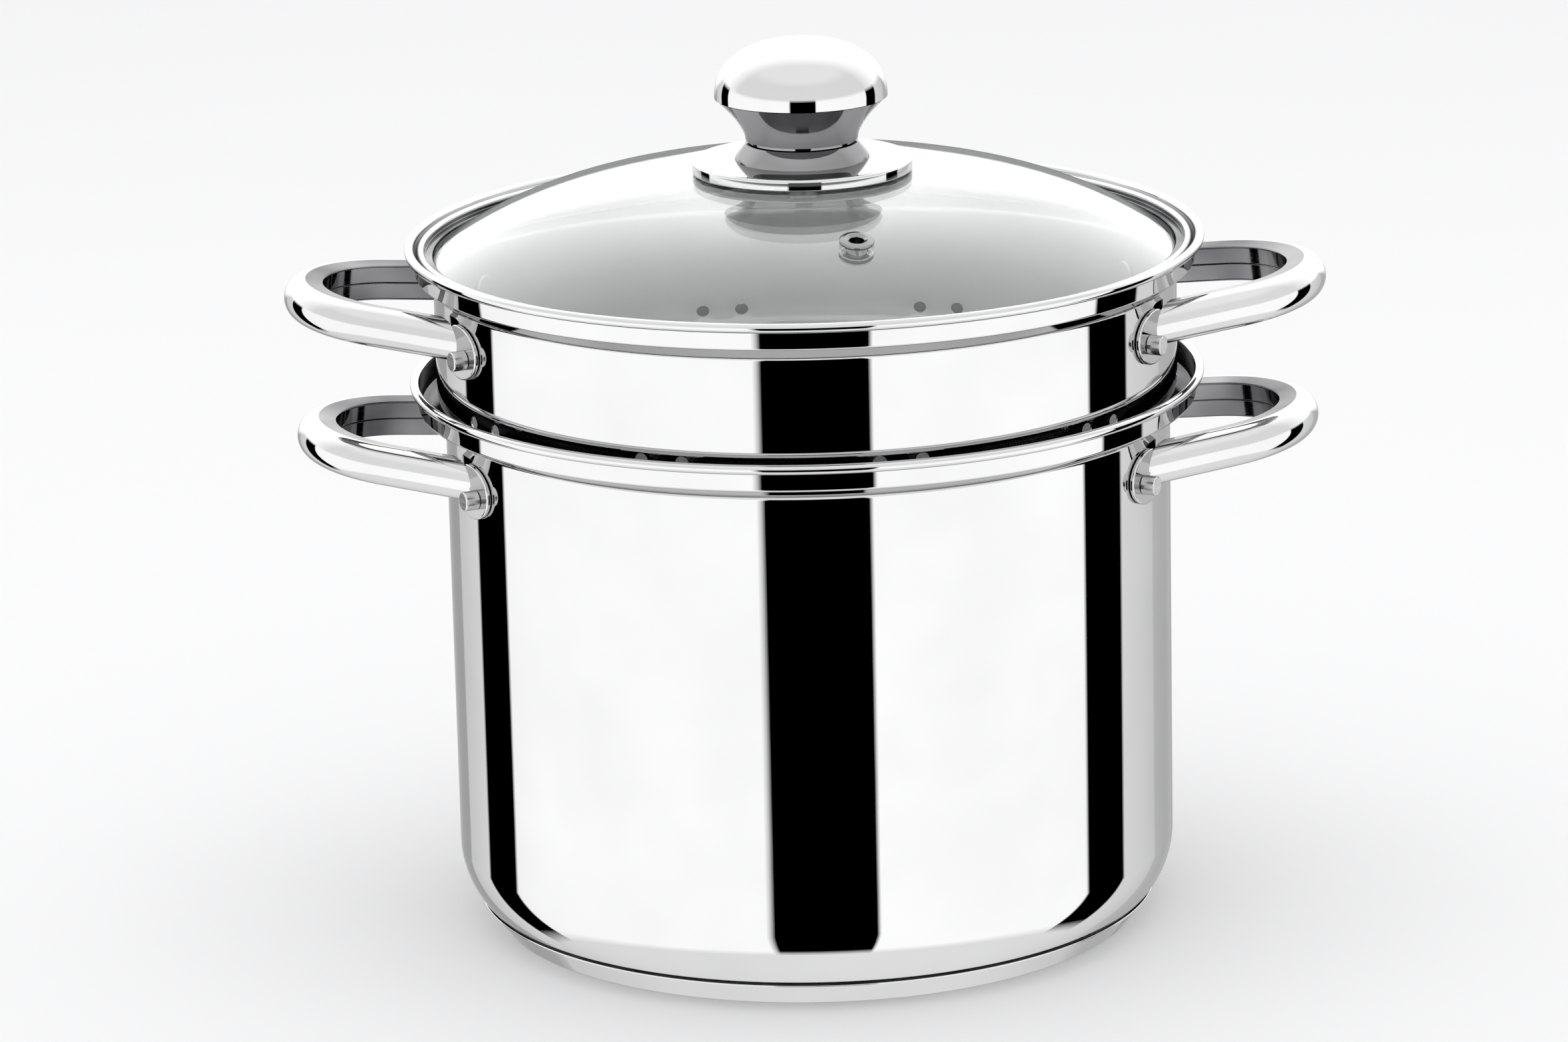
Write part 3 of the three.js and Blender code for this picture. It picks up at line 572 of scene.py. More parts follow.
def basket_wall(skin, finishes):
    """The perforated wall, one sector at a time."""
    wall = BasketWall()
    holes = wall_holes(wall)
    sector = 360 / FLOWERS_ROUND
    start = -sector / 4
    columns = round(ROUND / FLOWERS_ROUND)
    rows = math.ceil(wall.length / SHEET_SPACING)
    across = [math.radians(start + sector * i / columns) * BASKET_R for i in range(columns + 1)]
    along = [wall.length * i / rows for i in range(rows + 1)]
    outline = [(x, along[0]) for x in across]
    outline += [(across[-1], y) for y in along[1:]]
    outline += [(x, along[-1]) for x in reversed(across[:-1])]
    outline += [(across[0], y) for y in reversed(along[1:-1])]
    filling = [(x, y) for x in across[1:-1] for y in along[1:-1]]

    def face(turn, sheet, side):
        def place(x, y):
            r, z, out, up = wall.at(y)
            depth, slope_x, slope_y = dimple(x, y, holes) if side < 0 else (0, 0, 0)
            angle = x / BASKET_R + turn
            c, s = math.cos(angle), math.sin(angle)
            lift = depth - sheet
            normal = Vector((out * c, out * s, up))
            round_way = Vector((-s, c, 0))
            up_way = Vector((-up * c, -up * s, out))
            tilted = (normal - round_way * slope_x - up_way * slope_y).normalized()
            reach = r + out * lift
            return (reach * c, reach * s, z + up * lift), tuple(side * tilted)

        return place

    for i in range(FLOWERS_ROUND):
        turn = math.radians(FLOWER_ANGLE + sector * i)
        punched(skin, outline, holes, filling, face(turn, 0, 1), face(turn, INSERT_WALL, -1), finishes)


def basket_floor(skin, finishes):
    """The perforated floor."""
    reach = BASKET_R - INSERT_CORNER
    holes = []
    for row in range(1, FLOOR_HOLE_RINGS + 1):
        for i in range(HEXAGON * row):
            angle = math.radians(360 * i / (HEXAGON * row) + FLOOR_HOLE_TURN)
            radius = row * FLOOR_HOLE_PITCH
            holes.append((radius * math.cos(angle), radius * math.sin(angle), HOLE_DIAMETER / 2))
    filling = [(0.0, 0.0)]
    for i in range(1, int(reach / FLOOR_SPACING)):
        filling += circle(0, 0, FLOOR_SPACING * i, HEXAGON * i)
    top = BASKET_FLOOR + INSERT_WALL
    punched(
        skin, circle(0, 0, reach, ROUND), holes, filling,
        lambda x, y: ((x, y, top), (0, 0, 1)),
        lambda x, y: ((x, y, BASKET_FLOOR), (0, 0, -1)),
        finishes,
    )


def insert_shell(outside, inside):
    """The strainer: perforated floor and wall, shoulder, collar and stepped rim."""
    skin = Skin()
    basket_floor(skin, (1, 0))
    corner = (BASKET_R - INSERT_CORNER, BASKET_FLOOR + INSERT_CORNER)
    skin.lathe([bend(*corner, INSERT_CORNER, -90, 0)], 0)
    skin.lathe([bend(*corner, INSERT_CORNER - INSERT_WALL, 0, -90)], 1)
    basket_wall(skin, (0, 1))
    collar, top = insert_rim.outside(SHEET_TOP)
    skin.lathe(collar, 0)
    skin.lathe(insert_rim.inside(top, SHEET_TOP), 1)
    skin.build("insert_shell", "insert", "polished_steel", (outside, inside), "insert_body")


# Handles
def handle_section():
    """The tube, made as a fold of sheet: round on the outside of the loop, flat on the inside with its seam.
    """
    flat, tall, seam = -HANDLE_FLAT_INSET, HANDLE_FLAT / 2, HANDLE_SEAM / 2
    tube = HANDLE_TUBE / 2
    return [
        bend(0, 0, tube, -90, 90),
        *rounded(
            (0, tube),
            (flat, tall, HANDLE_FLAT_EDGE),
            (flat, seam, seam),
            (flat + HANDLE_SEAM_DEPTH, 0),
            (flat, -seam, seam),
            (flat, -tall, HANDLE_FLAT_EDGE),
            (0, -tube),
        ),
    ]


class HandlePath:
    """Stations along a handle's loop: out from one ear, round the bend and back to the other."""

    def __init__(self, wall_r, foot_z):
        splay = math.radians(HANDLE_SPLAY)
        self.rise = math.tan(math.radians(HANDLE_TILT))
        self.up = Vector((-math.sin(math.radians(HANDLE_TILT)), 0, math.cos(math.radians(HANDLE_TILT))))
        self.middle = wall_r + HANDLE_REACH - HANDLE_BEND
        self.turn = math.pi / 2 - splay
        self.leg = Vector((math.cos(splay), math.sin(splay)))
        end = Vector((self.middle + HANDLE_BEND * math.cos(self.turn), HANDLE_BEND * math.sin(self.turn)))
        b = end.y * self.leg.y - end.x * self.leg.x
        to_wall = -b - math.sqrt(b * b - end.length_squared + wall_r * wall_r)
        self.foot_x = end.x - to_wall * self.leg.x
        self.foot_z = foot_z
        self.stop = wall_r + CLEARANCE + EAR_SHEET

    def frame(self, angle):
        """The place on the bend, and the ways out and along, at an angle from the loop's middle."""
        x = self.middle + HANDLE_BEND * math.cos(angle)
        place = Vector((x, HANDLE_BEND * math.sin(angle), self.foot_z + (x - self.foot_x) * self.rise))
        onward = Vector((math.sin(angle), -math.cos(angle), math.sin(angle) * self.rise)).normalized()
        return place, self.up.cross(onward), onward

    def spot(self, place, out, sample):
        """The point and normal of a sample of the section, at a place on the path."""
        across, rise, normal_out, normal_up = sample
        return place + out * across + self.up * rise, out * normal_out + self.up * normal_up

    def station(self, angle):
        place, out, _ = self.frame(angle)

        def at(sample):
            point, normal = self.spot(place, out, sample)
            return tuple(point), tuple(normal)

        return at

    def end(self, side):
        """The station where a leg meets its ear."""
        place, out, onward = self.frame(side * self.turn)
        way = -side * onward

        def at(sample):
            point, normal = self.spot(place, out, sample)
            a = way.x ** 2 + way.y ** 2
            b = point.x * way.x + point.y * way.y
            c = point.x ** 2 + point.y ** 2 - self.stop ** 2
            point = point + way * ((-b - math.sqrt(b * b - a * c)) / a)
            return tuple(point), tuple(normal)

        return at

    def stations(self):
        turns = [self.turn * (1 - 2 * i / HANDLE_STEPS) for i in range(HANDLE_STEPS + 1)]
        return [self.end(1), *(self.station(turn) for turn in turns), self.end(-1)]


def ear(skin, wall_r, angle, facing, z):
    """An oval plate on the wall, with a rounded edge. Its face is flat and looks to one side."""
    half = EAR_HEIGHT / 2
    outline = rounded(
        (0, EAR_SHEET), (half, EAR_SHEET, EAR_EDGE), (half, 0, EAR_EDGE / 2), (0, 0),
    )
    runs = [list(reversed(run)) for run in reversed(outline)]
    stretch = EAR_WIDTH / EAR_HEIGHT
    inner = wall_r + CLEARANCE

    def around(turn):
        c, s = math.cos(turn), math.sin(turn)
        edge_y, edge_z = Vector((c / stretch, s)).normalized()

        def at(sample):
            reach, height, out, up = sample
            lean = math.radians(angle) + reach * stretch * c / inner
            cos_a, sin_a = math.cos(lean), math.sin(lean)
            normal = (
                -up * math.cos(math.radians(facing)) + out * edge_y * sin_a,
                -up * math.sin(math.radians(facing)) - out * edge_y * cos_a,
                -out * edge_z,
            )
            r = inner + height
            return (r * cos_a, r * sin_a, z + reach * s), normal

        return at

    turns = [2 * math.pi * (i % SMALL_ROUND) / SMALL_ROUND for i in range(SMALL_ROUND + 1)]
    skin.sweep(runs, [around(turn) for turn in turns])


def handle(name, body, wall_r, ear_z, side, finishes, node):
    """A looped tube with its two ears."""
    turn = Matrix.Rotation(0 if side == "right" else math.pi, 4, "Z")
    skin = Skin(turn)
    path = HandlePath(wall_r, ear_z + TUBE_ABOVE_EAR)
    stations = list(reversed(path.stations()))
    section = handle_section()
    skin.sweep(section[:1], stations)
    # The flat inner side of the loop, with its seam, takes the second finish, darkened steel: painted shade
    skin.sweep(section[1:], stations, 1)
    for station, way in ((stations[0], 1), (stations[-1], -1)):
        cap = [station(sample) for run in section for sample in run[:-1]]
        inwards = (-1, 0, 0)
        skin.face([(point, inwards) for point, _ in cap][::way])
    for way in (1, -1):
        ear(skin, wall_r, way * EAR_ANGLE, way * EAR_FACE, ear_z)
    skin.build(name, body, "polished_steel", finishes, node)


def rivet(name, body, wall_r, sheet, angle, z, finishes, node):
    """A rivet with a flat head inside the wall and a flat-ended stub outside the ear."""
    head_top = wall_r - sheet - CLEARANCE
    stub_low = wall_r + CLEARANCE + EAR_SHEET
    stub_top = stub_low + CLEARANCE + RIVET_STUB_LENGTH
    place = Matrix.Rotation(math.radians(angle), 4, "Z") @ Matrix.Translation((0, 0, z))
    skin = Skin(place @ Matrix.Rotation(math.pi / 2, 4, "Y"))
    skin.lathe(rounded(
        (0, head_top - RIVET_HEAD_HEIGHT),
        (RIVET_HEAD / 2, head_top - RIVET_HEAD_HEIGHT, RIVET_EDGE),
        (RIVET_HEAD / 2, head_top),
        (RIVET_SHANK / 2, head_top),
    ), finish=1, segments=SMALL_ROUND)
    skin.lathe(rounded(
        (RIVET_SHANK / 2, head_top),
        (RIVET_SHANK / 2, stub_low),
        (RIVET_STUB / 2, stub_low),
        (RIVET_STUB / 2, stub_top, RIVET_EDGE),
        (0, stub_top),
    ), segments=SMALL_ROUND)
    skin.build(name, body, "satin_steel", finishes, node)


def handles(body, wall_r, sheet, ear_z, tube_finishes, rivet_finishes):
    """Both handles of a body, and their rivets."""
    for side in ("left", "right"):
        node = f"{body}_handle_{side}"
        handle(f"{body}_loop_{side}", body, wall_r, ear_z, side, tube_finishes, node)
        for end in ("front", "rear"):
            angle = RIVET_ANGLE if side == "right" else 180 - RIVET_ANGLE
            angle = -angle if end == "front" else angle
            node = f"{body}_rivet_{side}_{end}"
            name = f"{body}_stud_{side}_{end}"
            rivet(name, body, wall_r, sheet, angle, ear_z - RIVET_BELOW_EAR, rivet_finishes, node)


# Lid
LID_Z = insert_rim.inner_height(LID_R) + CLEARANCE / math.cos(insert_rim.slope)
LID_TOP = LID_Z + LID_RING_HEIGHT
GLASS_APEX = LID_TOP + GLASS_ABOVE_RING


def glass_top(r):
    return GLASS_APEX - GLASS_RISE * (r / GLASS_R) ** GLASS_CROWN_POWER


def glass_slope(r):
    return GLASS_RISE * GLASS_CROWN_POWER * (r / GLASS_R) ** (GLASS_CROWN_POWER - 1) / GLASS_R


def lid_dome(finish):
    """The domed glass, with a hole for the vent and one for the knob's screw."""
    vent = math.radians(VENT_ANGLE)
    holes = [
        (0.0, 0.0, SCREW_HOLE),
        (VENT_R * math.cos(vent), VENT_R * math.sin(vent), VENT_BARREL / 2 + CLEARANCE),
    ]
    filling = []
    for i in range(2, int(GLASS_R / GLASS_SPACING)):
        r = GLASS_SPACING * i
        filling += circle(0, 0, r, math.ceil(2 * math.pi * r / GLASS_SPACING))

    def face(drop, side):
        def place(x, y):
            r = math.hypot(x, y)
            slope = glass_slope(r) / max(r, SAME_PLACE)
            normal = Vector((x * slope, y * slope, 1)).normalized()
            return (x, y, glass_top(r) - drop), tuple(side * normal)

        return place

    skin = Skin()
    punched(skin, circle(0, 0, GLASS_R, ROUND), holes, filling, face(0, 1), face(GLASS_THICKNESS, -1))
    low = glass_top(GLASS_R) - GLASS_THICKNESS
    skin.lathe([line((GLASS_R, low), (GLASS_R, low + GLASS_THICKNESS))])
    skin.build("lid_dome", "lid", "lid_glass", (finish,), "lid_glass")


def lid_band(finish, inner_finish):
    """The rolled steel ring round the glass, which stands on the insert's ledge."""
    channel = GLASS_R + CLEARANCE
    lip = GLASS_R - LID_LIP
    low_lip = glass_top(lip) - GLASS_THICKNESS - CLEARANCE
    low_edge = glass_top(GLASS_R) - GLASS_THICKNESS - CLEARANCE
    soft = LID_LIP_EDGE
    ring_r = LID_R - LID_RING_WIDTH
    lip_z = glass_top(lip) + CLEARANCE + LID_SHEET
    upright = (ring_r, (LID_TOP + lip_z) / 2)
    skin = Skin()
    # The inside of the ring and the lips round the glass take the second finish, darkened steel: painted
    # shade
    skin.lathe(rounded(
        upright,
        (ring_r, lip_z, soft),
        (lip, lip_z, soft),
        (lip, lip_z - LID_SHEET, soft),
        (channel, glass_top(GLASS_R) + CLEARANCE),
        (channel, low_edge),
        (lip, low_lip, soft),
        (lip, low_lip - LID_SHEET, soft),
    ), finish=1)
    skin.lathe(rounded(
        (lip, low_lip - LID_SHEET),
        (channel, low_edge - LID_SHEET, soft),
        (LID_R, LID_Z, soft),
        (LID_R, LID_TOP, LID_RING_EDGE),
        (ring_r, LID_TOP, LID_RING_EDGE),
        upright,
    ))
    skin.build("lid_band", "lid", "polished_steel", (finish, inner_finish), "lid_rim")


def vent(finish):
    """The vent's eyelet, square to the glass, with a rolled collar on both sides."""
    low = -GLASS_THICKNESS - 2 * CLEARANCE
    bore, barrel, flange = VENT_BORE / 2, VENT_BARREL / 2, VENT_FLANGE / 2
    place = Matrix.Rotation(math.radians(VENT_ANGLE), 4, "Z")
    place = place @ Matrix.Translation((VENT_R, 0, glass_top(VENT_R)))
    skin = Skin(place @ Matrix.Rotation(math.atan(glass_slope(VENT_R)), 4, "Y"))
    skin.lathe(looped(
        (bore, low - VENT_FLANGE_HEIGHT, VENT_EDGE),
        (flange, low - VENT_FLANGE_HEIGHT, VENT_LOW_EDGE),
        (flange, low, VENT_EDGE),
        (barrel, low),
        (barrel, CLEARANCE),
        (flange, CLEARANCE, VENT_EDGE),
        (flange, CLEARANCE + VENT_RIM_HEIGHT, VENT_RIM_EDGE),
        (VENT_MOUTH / 2, CLEARANCE + VENT_FLANGE_HEIGHT, VENT_MOUTH_EDGE),
        (bore, CLEARANCE + VENT_THROAT_HEIGHT, VENT_EDGE),
    ), segments=SMALL_ROUND)
    skin.build("vent_collar", "lid", "polished_steel", (finish,), "vent_eyelet")


# Knob
FLANGE_R = KNOB_FLANGE_DIAMETER / 2
FLANGE_Z = glass_top(FLANGE_R - KNOB_EDGE) + CLEARANCE
FLANGE_TOP = FLANGE_Z + KNOB_FLANGE_HEIGHT
COLLAR_TOP = FLANGE_TOP + KNOB_COLLAR_HEIGHT
COLLAR_R = KNOB_COLLAR_DIAMETER / 2
KNOB_NECK_R = KNOB_NECK_DIAMETER / 2
KNOB_R = KNOB_DIAMETER / 2
NECK_LOW = COLLAR_TOP + CLEARANCE
NECK_TOP = NECK_LOW + KNOB_NECK_HEIGHT
CAP_LOW = NECK_TOP + CLEARANCE
BOSS_HOLE = BOSS_DIAMETER / 2 + CLEARANCE
FLARE_STEPS = 14
DOME_STEPS = 28


def flare(from_r, to_r, low, high, power):
    """A side that leans more and more from one radius to another as it rises."""
    shares = [i / FLARE_STEPS for i in range(FLARE_STEPS + 1)]
    return [(from_r + (to_r - from_r) * share ** power, low + (high - low) * share) for share in shares]


def knob_flange(finish, collar_finish):
    """The disc on the glass, with its collar."""
    sheet = KNOB_SHEET
    side = flare(COLLAR_R, KNOB_NECK_R, FLANGE_TOP, COLLAR_TOP, KNOB_COLLAR_FLARE)
    rim = FLANGE_R - KNOB_EDGE - sheet
    skin = Skin()
    skin.lathe(rounded(
        (rim, FLANGE_Z),
        (FLANGE_R, FLANGE_Z, KNOB_EDGE),
        (FLANGE_R, FLANGE_TOP, KNOB_EDGE * 2),
        side[0],
    ), segments=KNOB_ROUND)
    # The collar's side, in this run, takes the second finish, darkened steel: painted shade
    skin.lathe([
        curve(side),
        *rounded(
            side[-1],
            (BOSS_HOLE, COLLAR_TOP),
            (BOSS_HOLE, COLLAR_TOP - sheet),
            (KNOB_NECK_R - sheet, COLLAR_TOP - sheet),
            (COLLAR_R - sheet, FLANGE_TOP - sheet),
            (rim, FLANGE_TOP - sheet),
            (rim, FLANGE_Z),
        ),
    ], finish=1, segments=KNOB_ROUND)
    skin.build("knob_disc", "lid", "polished_steel", (finish, collar_finish), "knob_flange")


def knob_neck(finish):
    """The flaring underside of the knob, over a small groove."""
    groove_top = NECK_LOW + KNOB_GROOVE
    outer = flare(KNOB_NECK_R, KNOB_R - KNOB_EDGE, groove_top, NECK_TOP, KNOB_NECK_FLARE)
    skew = KNOB_SHEET + KNOB_GROOVE
    inner_low = NECK_LOW + KNOB_SHEET
    inner = flare(KNOB_NECK_R - skew, KNOB_R - KNOB_EDGE - skew, inner_low, NECK_TOP, KNOB_NECK_FLARE)
    inner.reverse()
    skin = Skin()
    skin.lathe([
        *rounded(
            (BOSS_HOLE, NECK_LOW),
            (KNOB_NECK_R - KNOB_GROOVE, NECK_LOW),
            (KNOB_NECK_R - KNOB_GROOVE, groove_top),
            outer[0],
        ),
        curve(outer),
        line(outer[-1], inner[0]),
        curve(inner),
        *rounded(inner[-1], (BOSS_HOLE, inner_low), (BOSS_HOLE, NECK_LOW)),
    ], segments=KNOB_ROUND)
    skin.build("knob_stem", "lid", "polished_steel", (finish,), "knob_neck")


def dome(radius, height):
    """A quarter of an oval that is a little fuller than an ellipse."""
    places = []
    for i in range(DOME_STEPS + 1):
        turn = i * math.pi / 2 / DOME_STEPS
        out = max(math.cos(turn), 0) ** (2 / KNOB_CAP_FULLNESS)
        up = math.sin(turn) ** (2 / KNOB_CAP_FULLNESS)
        places.append((0.0 if i == DOME_STEPS else radius * out, CAP_LOW + height * up))
    return places


def knob_cap(finish):
    """The domed top of the knob."""
    outer = dome(KNOB_R, KNOB_CAP_HEIGHT)
    inner = dome(KNOB_R - KNOB_SHEET, KNOB_CAP_HEIGHT - KNOB_SHEET)
    inner.reverse()
    skin = Skin()
    skin.lathe([curve(outer), curve(inner), line(inner[-1], outer[0])], segments=KNOB_ROUND)
    skin.build("knob_dome", "lid", "polished_steel", (finish,), "knob_cap")


def fixing(name, slot, finish, node, outer, low, high, edge):
    """A flat ring on the knob's screw, under the glass."""
    skin = Skin()
    skin.lathe(looped(
        (SCREW_HOLE, low, edge),
        (outer, low, edge),
        (outer, high, edge),
        (SCREW_HOLE, high, edge),
    ), segments=SMALL_ROUND)
    skin.build(name, "lid", slot, (finish,), node)


def knob_fixings(steel_finish, silicone_finish):
    """The silicone washer, the steel washer and the screw under the glass."""
    gasket_top = glass_top(0) - GLASS_THICKNESS - 2 * CLEARANCE
    gasket_low = gasket_top - GASKET_THICKNESS
    washer_top = gasket_low - CLEARANCE
    washer_low = washer_top - WASHER_THICKNESS
    head_top = washer_low - CLEARANCE
    head_low = head_top - SCREW_HEAD_HEIGHT
    screw_top = GLASS_APEX + CLEARANCE + SCREW_GRIP
    fixing("knob_gasket", "silicone", silicone_finish, "glass_gasket",
           GASKET_DIAMETER / 2, gasket_low, gasket_top, GASKET_EDGE)
    fixing("knob_washer", "satin_steel", steel_finish, "screw_washer",
           WASHER_DIAMETER / 2, washer_low, washer_top, WASHER_EDGE)
    socket_r, socket_z = SCREW_SOCKET / 2, head_low + SCREW_SOCKET_DEPTH
    skin = Skin()
    skin.lathe(rounded(
        (0, socket_z),
        (socket_r, socket_z),
        (socket_r, head_low, KNOB_EDGE / 2),
        (SCREW_HEAD / 2, head_low, SCREW_HEAD_HEIGHT / 2),
        (SCREW_HEAD / 2, head_top),
        (SCREW_SHANK / 2, head_top),
        (SCREW_SHANK / 2, screw_top, KNOB_EDGE),
        (0, screw_top),
    ), segments=SMALL_ROUND)
    skin.build("knob_bolt", "lid", "satin_steel", (steel_finish,), "knob_screw")


# Materials
class Nodes:
    """A small helper that adds nodes to a tree and links them."""

    def __init__(self, tree):
        self.tree = tree
        tree.nodes.clear()

    def add(self, kind, links=None, **values):
        """Adds a node. Values set its properties, and links feed its inputs by name or number."""
        node = self.tree.nodes.new(kind)
        for key, value in values.items():
            setattr(node, key, value)
        for key, value in (links or {}).items():
            self.feed(node.inputs[key], value)
        return node

    def feed(self, socket, value):
        """Links a socket to another one, or sets it to a value."""
        if isinstance(value, bpy.types.NodeSocket):
            self.tree.links.new(value, socket)
        else:
            socket.default_value = value

    def noise(self, scale, detail, stretch=(1.0, 1.0, 1.0)):
        """Noise over the piece, with a factor along each axis."""
        place = self.add("ShaderNodeTexCoord").outputs["Object"]
        mapped = self.add("ShaderNodeMapping", {"Vector": place, "Scale": stretch}).outputs["Vector"]
        links = {"Vector": mapped, "Scale": scale, "Detail": detail}
        return self.add("ShaderNodeTexNoise", links).outputs["Fac"]

    def range(self, value, low, high, start=0.3, end=0.7):
        links = {"Value": value, "From Min": start, "From Max": end, "To Min": low, "To Max": high}
        return self.add("ShaderNodeMapRange", links).outputs["Result"]

    def blend(self, share, first, second, kind="RGBA"):
        """Goes from a first colour, or plain number, to a second."""
        ending = "Color" if kind == "RGBA" else "Float"
        links = {"Factor_Float": share, f"A_{ending}": first, f"B_{ending}": second}
        mix = self.add("ShaderNodeMix", data_type=kind)
        for socket in mix.inputs:
            if socket.identifier in links:
                self.feed(socket, links[socket.identifier])
        return next(socket for socket in mix.outputs if socket.identifier == f"Result_{ending}")

    def math(self, operation, *values):
        return self.add("ShaderNodeMath", dict(enumerate(values)), operation=operation).outputs[0]


def material(name):
    made = bpy.data.materials.new(name)
    made.use_nodes = True
    return made, Nodes(made.node_tree)


def finish_with(nodes, shader):
    nodes.add("ShaderNodeOutputMaterial", {"Surface": shader.outputs[0]})


EDGE_TINT = (0.6, 0.6, 0.6, 1)
BLUE_TINGE = 0.005
POLISHING_LINES = (60.0, 60.0, 1500.0)


def greys(dark, light):
    """A dark and a light grey, both very slightly blue."""
    return [(value, value, value + BLUE_TINGE, 1) for value in (dark, light)]


def steel(name, colours, roughness, waviness, metallic=1.0, foot=None):
    """Stainless steel: faint polishing lines round the pot, a soft clouding and a little waviness.
    A foot of painted shade is a dark colour, and the heights at which it starts and ends."""
    made, nodes = material(name)
    lines = nodes.noise(scale=1.0, detail=3.0, stretch=POLISHING_LINES)
    clouds = nodes.noise(scale=28.0, detail=2.0)
    colour = nodes.blend(nodes.range(clouds, 0.0, 1.0), *colours)
    # Painted shade: the colour darkens towards the bottom of the piece
    if foot:
        shade, low, high = foot
        place = nodes.add("ShaderNodeTexCoord").outputs["Object"]
        height = nodes.add("ShaderNodeSeparateXYZ", {"Vector": place}).outputs["Z"]
        colour = nodes.blend(nodes.range(height, 0.0, 1.0, low * MM, high * MM), shade, colour)
    wave = nodes.add("ShaderNodeBump", {"Strength": waviness, "Distance": MM, "Height": clouds})
    shader = nodes.add("ShaderNodeBsdfPrincipled", {
        "Base Color": colour,
        "Roughness": nodes.range(lines, *roughness),
        "Normal": wave.outputs["Normal"],
        "Metallic": metallic,
        "Specular Tint": EDGE_TINT,
    })
    finish_with(nodes, shader)
    return made


GLASS_COLOURS = ((0.96, 0.975, 0.97, 1), (0.985, 0.99, 0.987, 1))
GLASS_ROUGHNESS = (0.0, 0.012)
GLASS_IOR = 1.5
# Dark colours for the glass seen nearly edge on: painted shade
GLASS_EDGE_SHADE_COLOURS = ((0.08, 0.085, 0.083, 1), (0.14, 0.145, 0.143, 1))
GLASS_EDGE_SHARE = 0.9
GLASS_EDGE_START, GLASS_EDGE_END = 0.85, 0.88
GLASS_EDGE_FROM, GLASS_EDGE_TO = 46.0, 50.0


def clear_glass(name):
    """Tempered glass with slight marks, and painted shade where it is seen nearly edge on, past the knob."""
    made, nodes = material(name)
    marks = nodes.noise(scale=45.0, detail=4.0)
    clear = nodes.add("ShaderNodeBsdfPrincipled", {
        "Base Color": nodes.blend(marks, *GLASS_COLOURS),
        "Roughness": nodes.range(marks, *GLASS_ROUGHNESS),
        "IOR": GLASS_IOR,
        "Transmission Weight": 1.0,
    })
    # A dark diffuse mixed in where the glass is seen nearly edge on: painted shade
    edge = nodes.add("ShaderNodeBsdfDiffuse", {"Color": nodes.blend(marks, *GLASS_EDGE_SHADE_COLOURS)})
    facing = nodes.add("ShaderNodeLayerWeight", {"Blend": 0.5}).outputs["Facing"]
    place = nodes.add("ShaderNodeTexCoord").outputs["Object"]
    flat = nodes.add("ShaderNodeVectorMath", {0: place, 1: (1, 1, 0)}, operation="MULTIPLY").outputs[0]
    reach = nodes.add("ShaderNodeVectorMath", {0: flat}, operation="LENGTH").outputs["Value"]
    edge_on = nodes.range(facing, 0.0, GLASS_EDGE_SHARE, GLASS_EDGE_START, GLASS_EDGE_END)
    past_knob = nodes.range(reach, 0.0, 1.0, GLASS_EDGE_FROM * MM, GLASS_EDGE_TO * MM)
    share = nodes.math("MULTIPLY", edge_on, past_knob)
    finish_with(nodes, nodes.add("ShaderNodeMixShader", {0: share, 1: clear.outputs[0], 2: edge.outputs[0]}))
    return made


SILICONE_COLOURS = ((0.7, 0.7, 0.68, 1), (0.8, 0.8, 0.78, 1))
SILICONE_ROUGHNESS = (0.5, 0.65)
SILICONE_GRAIN = {"Strength": 0.15, "Distance": 0.5 * MM}


def silicone(name):
    """Pale rubber with a fine grain."""
    made, nodes = material(name)
    grain = nodes.noise(scale=900.0, detail=3.0)
    bump = nodes.add("ShaderNodeBump", {**SILICONE_GRAIN, "Height": grain})
    shader = nodes.add("ShaderNodeBsdfPrincipled", {
        "Base Color": nodes.blend(grain, *SILICONE_COLOURS),
        "Roughness": nodes.range(grain, *SILICONE_ROUGHNESS),
        "Normal": bump.outputs["Normal"],
    })
    finish_with(nodes, shader)
    return made


# Stage
FLOOR_SIZE = 9.0
FLOOR_STEPS = 24
FLOOR_COLOUR = (0.9, 0.9, 0.905, 1)
FLOOR_SHADE = 0.985
FLOOR_FINISH = {"Roughness": 0.9, "Specular IOR Level": 0.1}
AIR_COLOUR = (0.95, 0.95, 0.955, 1)
STUDIO_STRENGTH = 1.44
STRIP_EDGE = 0.4
# Studio round the pot, by degrees from the camera's side, to the right: what begins there, 0 to 1.
STUDIO_ROUND = (
    (-180, 0.5), (-150, 0.8), (-131.5, 0.0), (-113, 1.0), (-15.4, 0.0),
    (18.8, 1.0), (96, 0.0), (116, 0.72), (140, 0.6), (165, 0.45),
)
STRIP_LOW, STRIP_HIGH = -42.0, 9.0
ZONE_EDGE = 3.0
GROUND = 0.74
# Above the strips the front is grey, and goes to white overhead and towards the back.
UPPER_FRONT = 0.72
OVERHEAD = 0.82
OVERHEAD_START, OVERHEAD_END = 44.0, 60.0
BACK = 1.5
BACK_START, BACK_END = 0.1, 0.95
BACK_DROP = 17.0
DROP_START, DROP_END = 0.75, 0.92


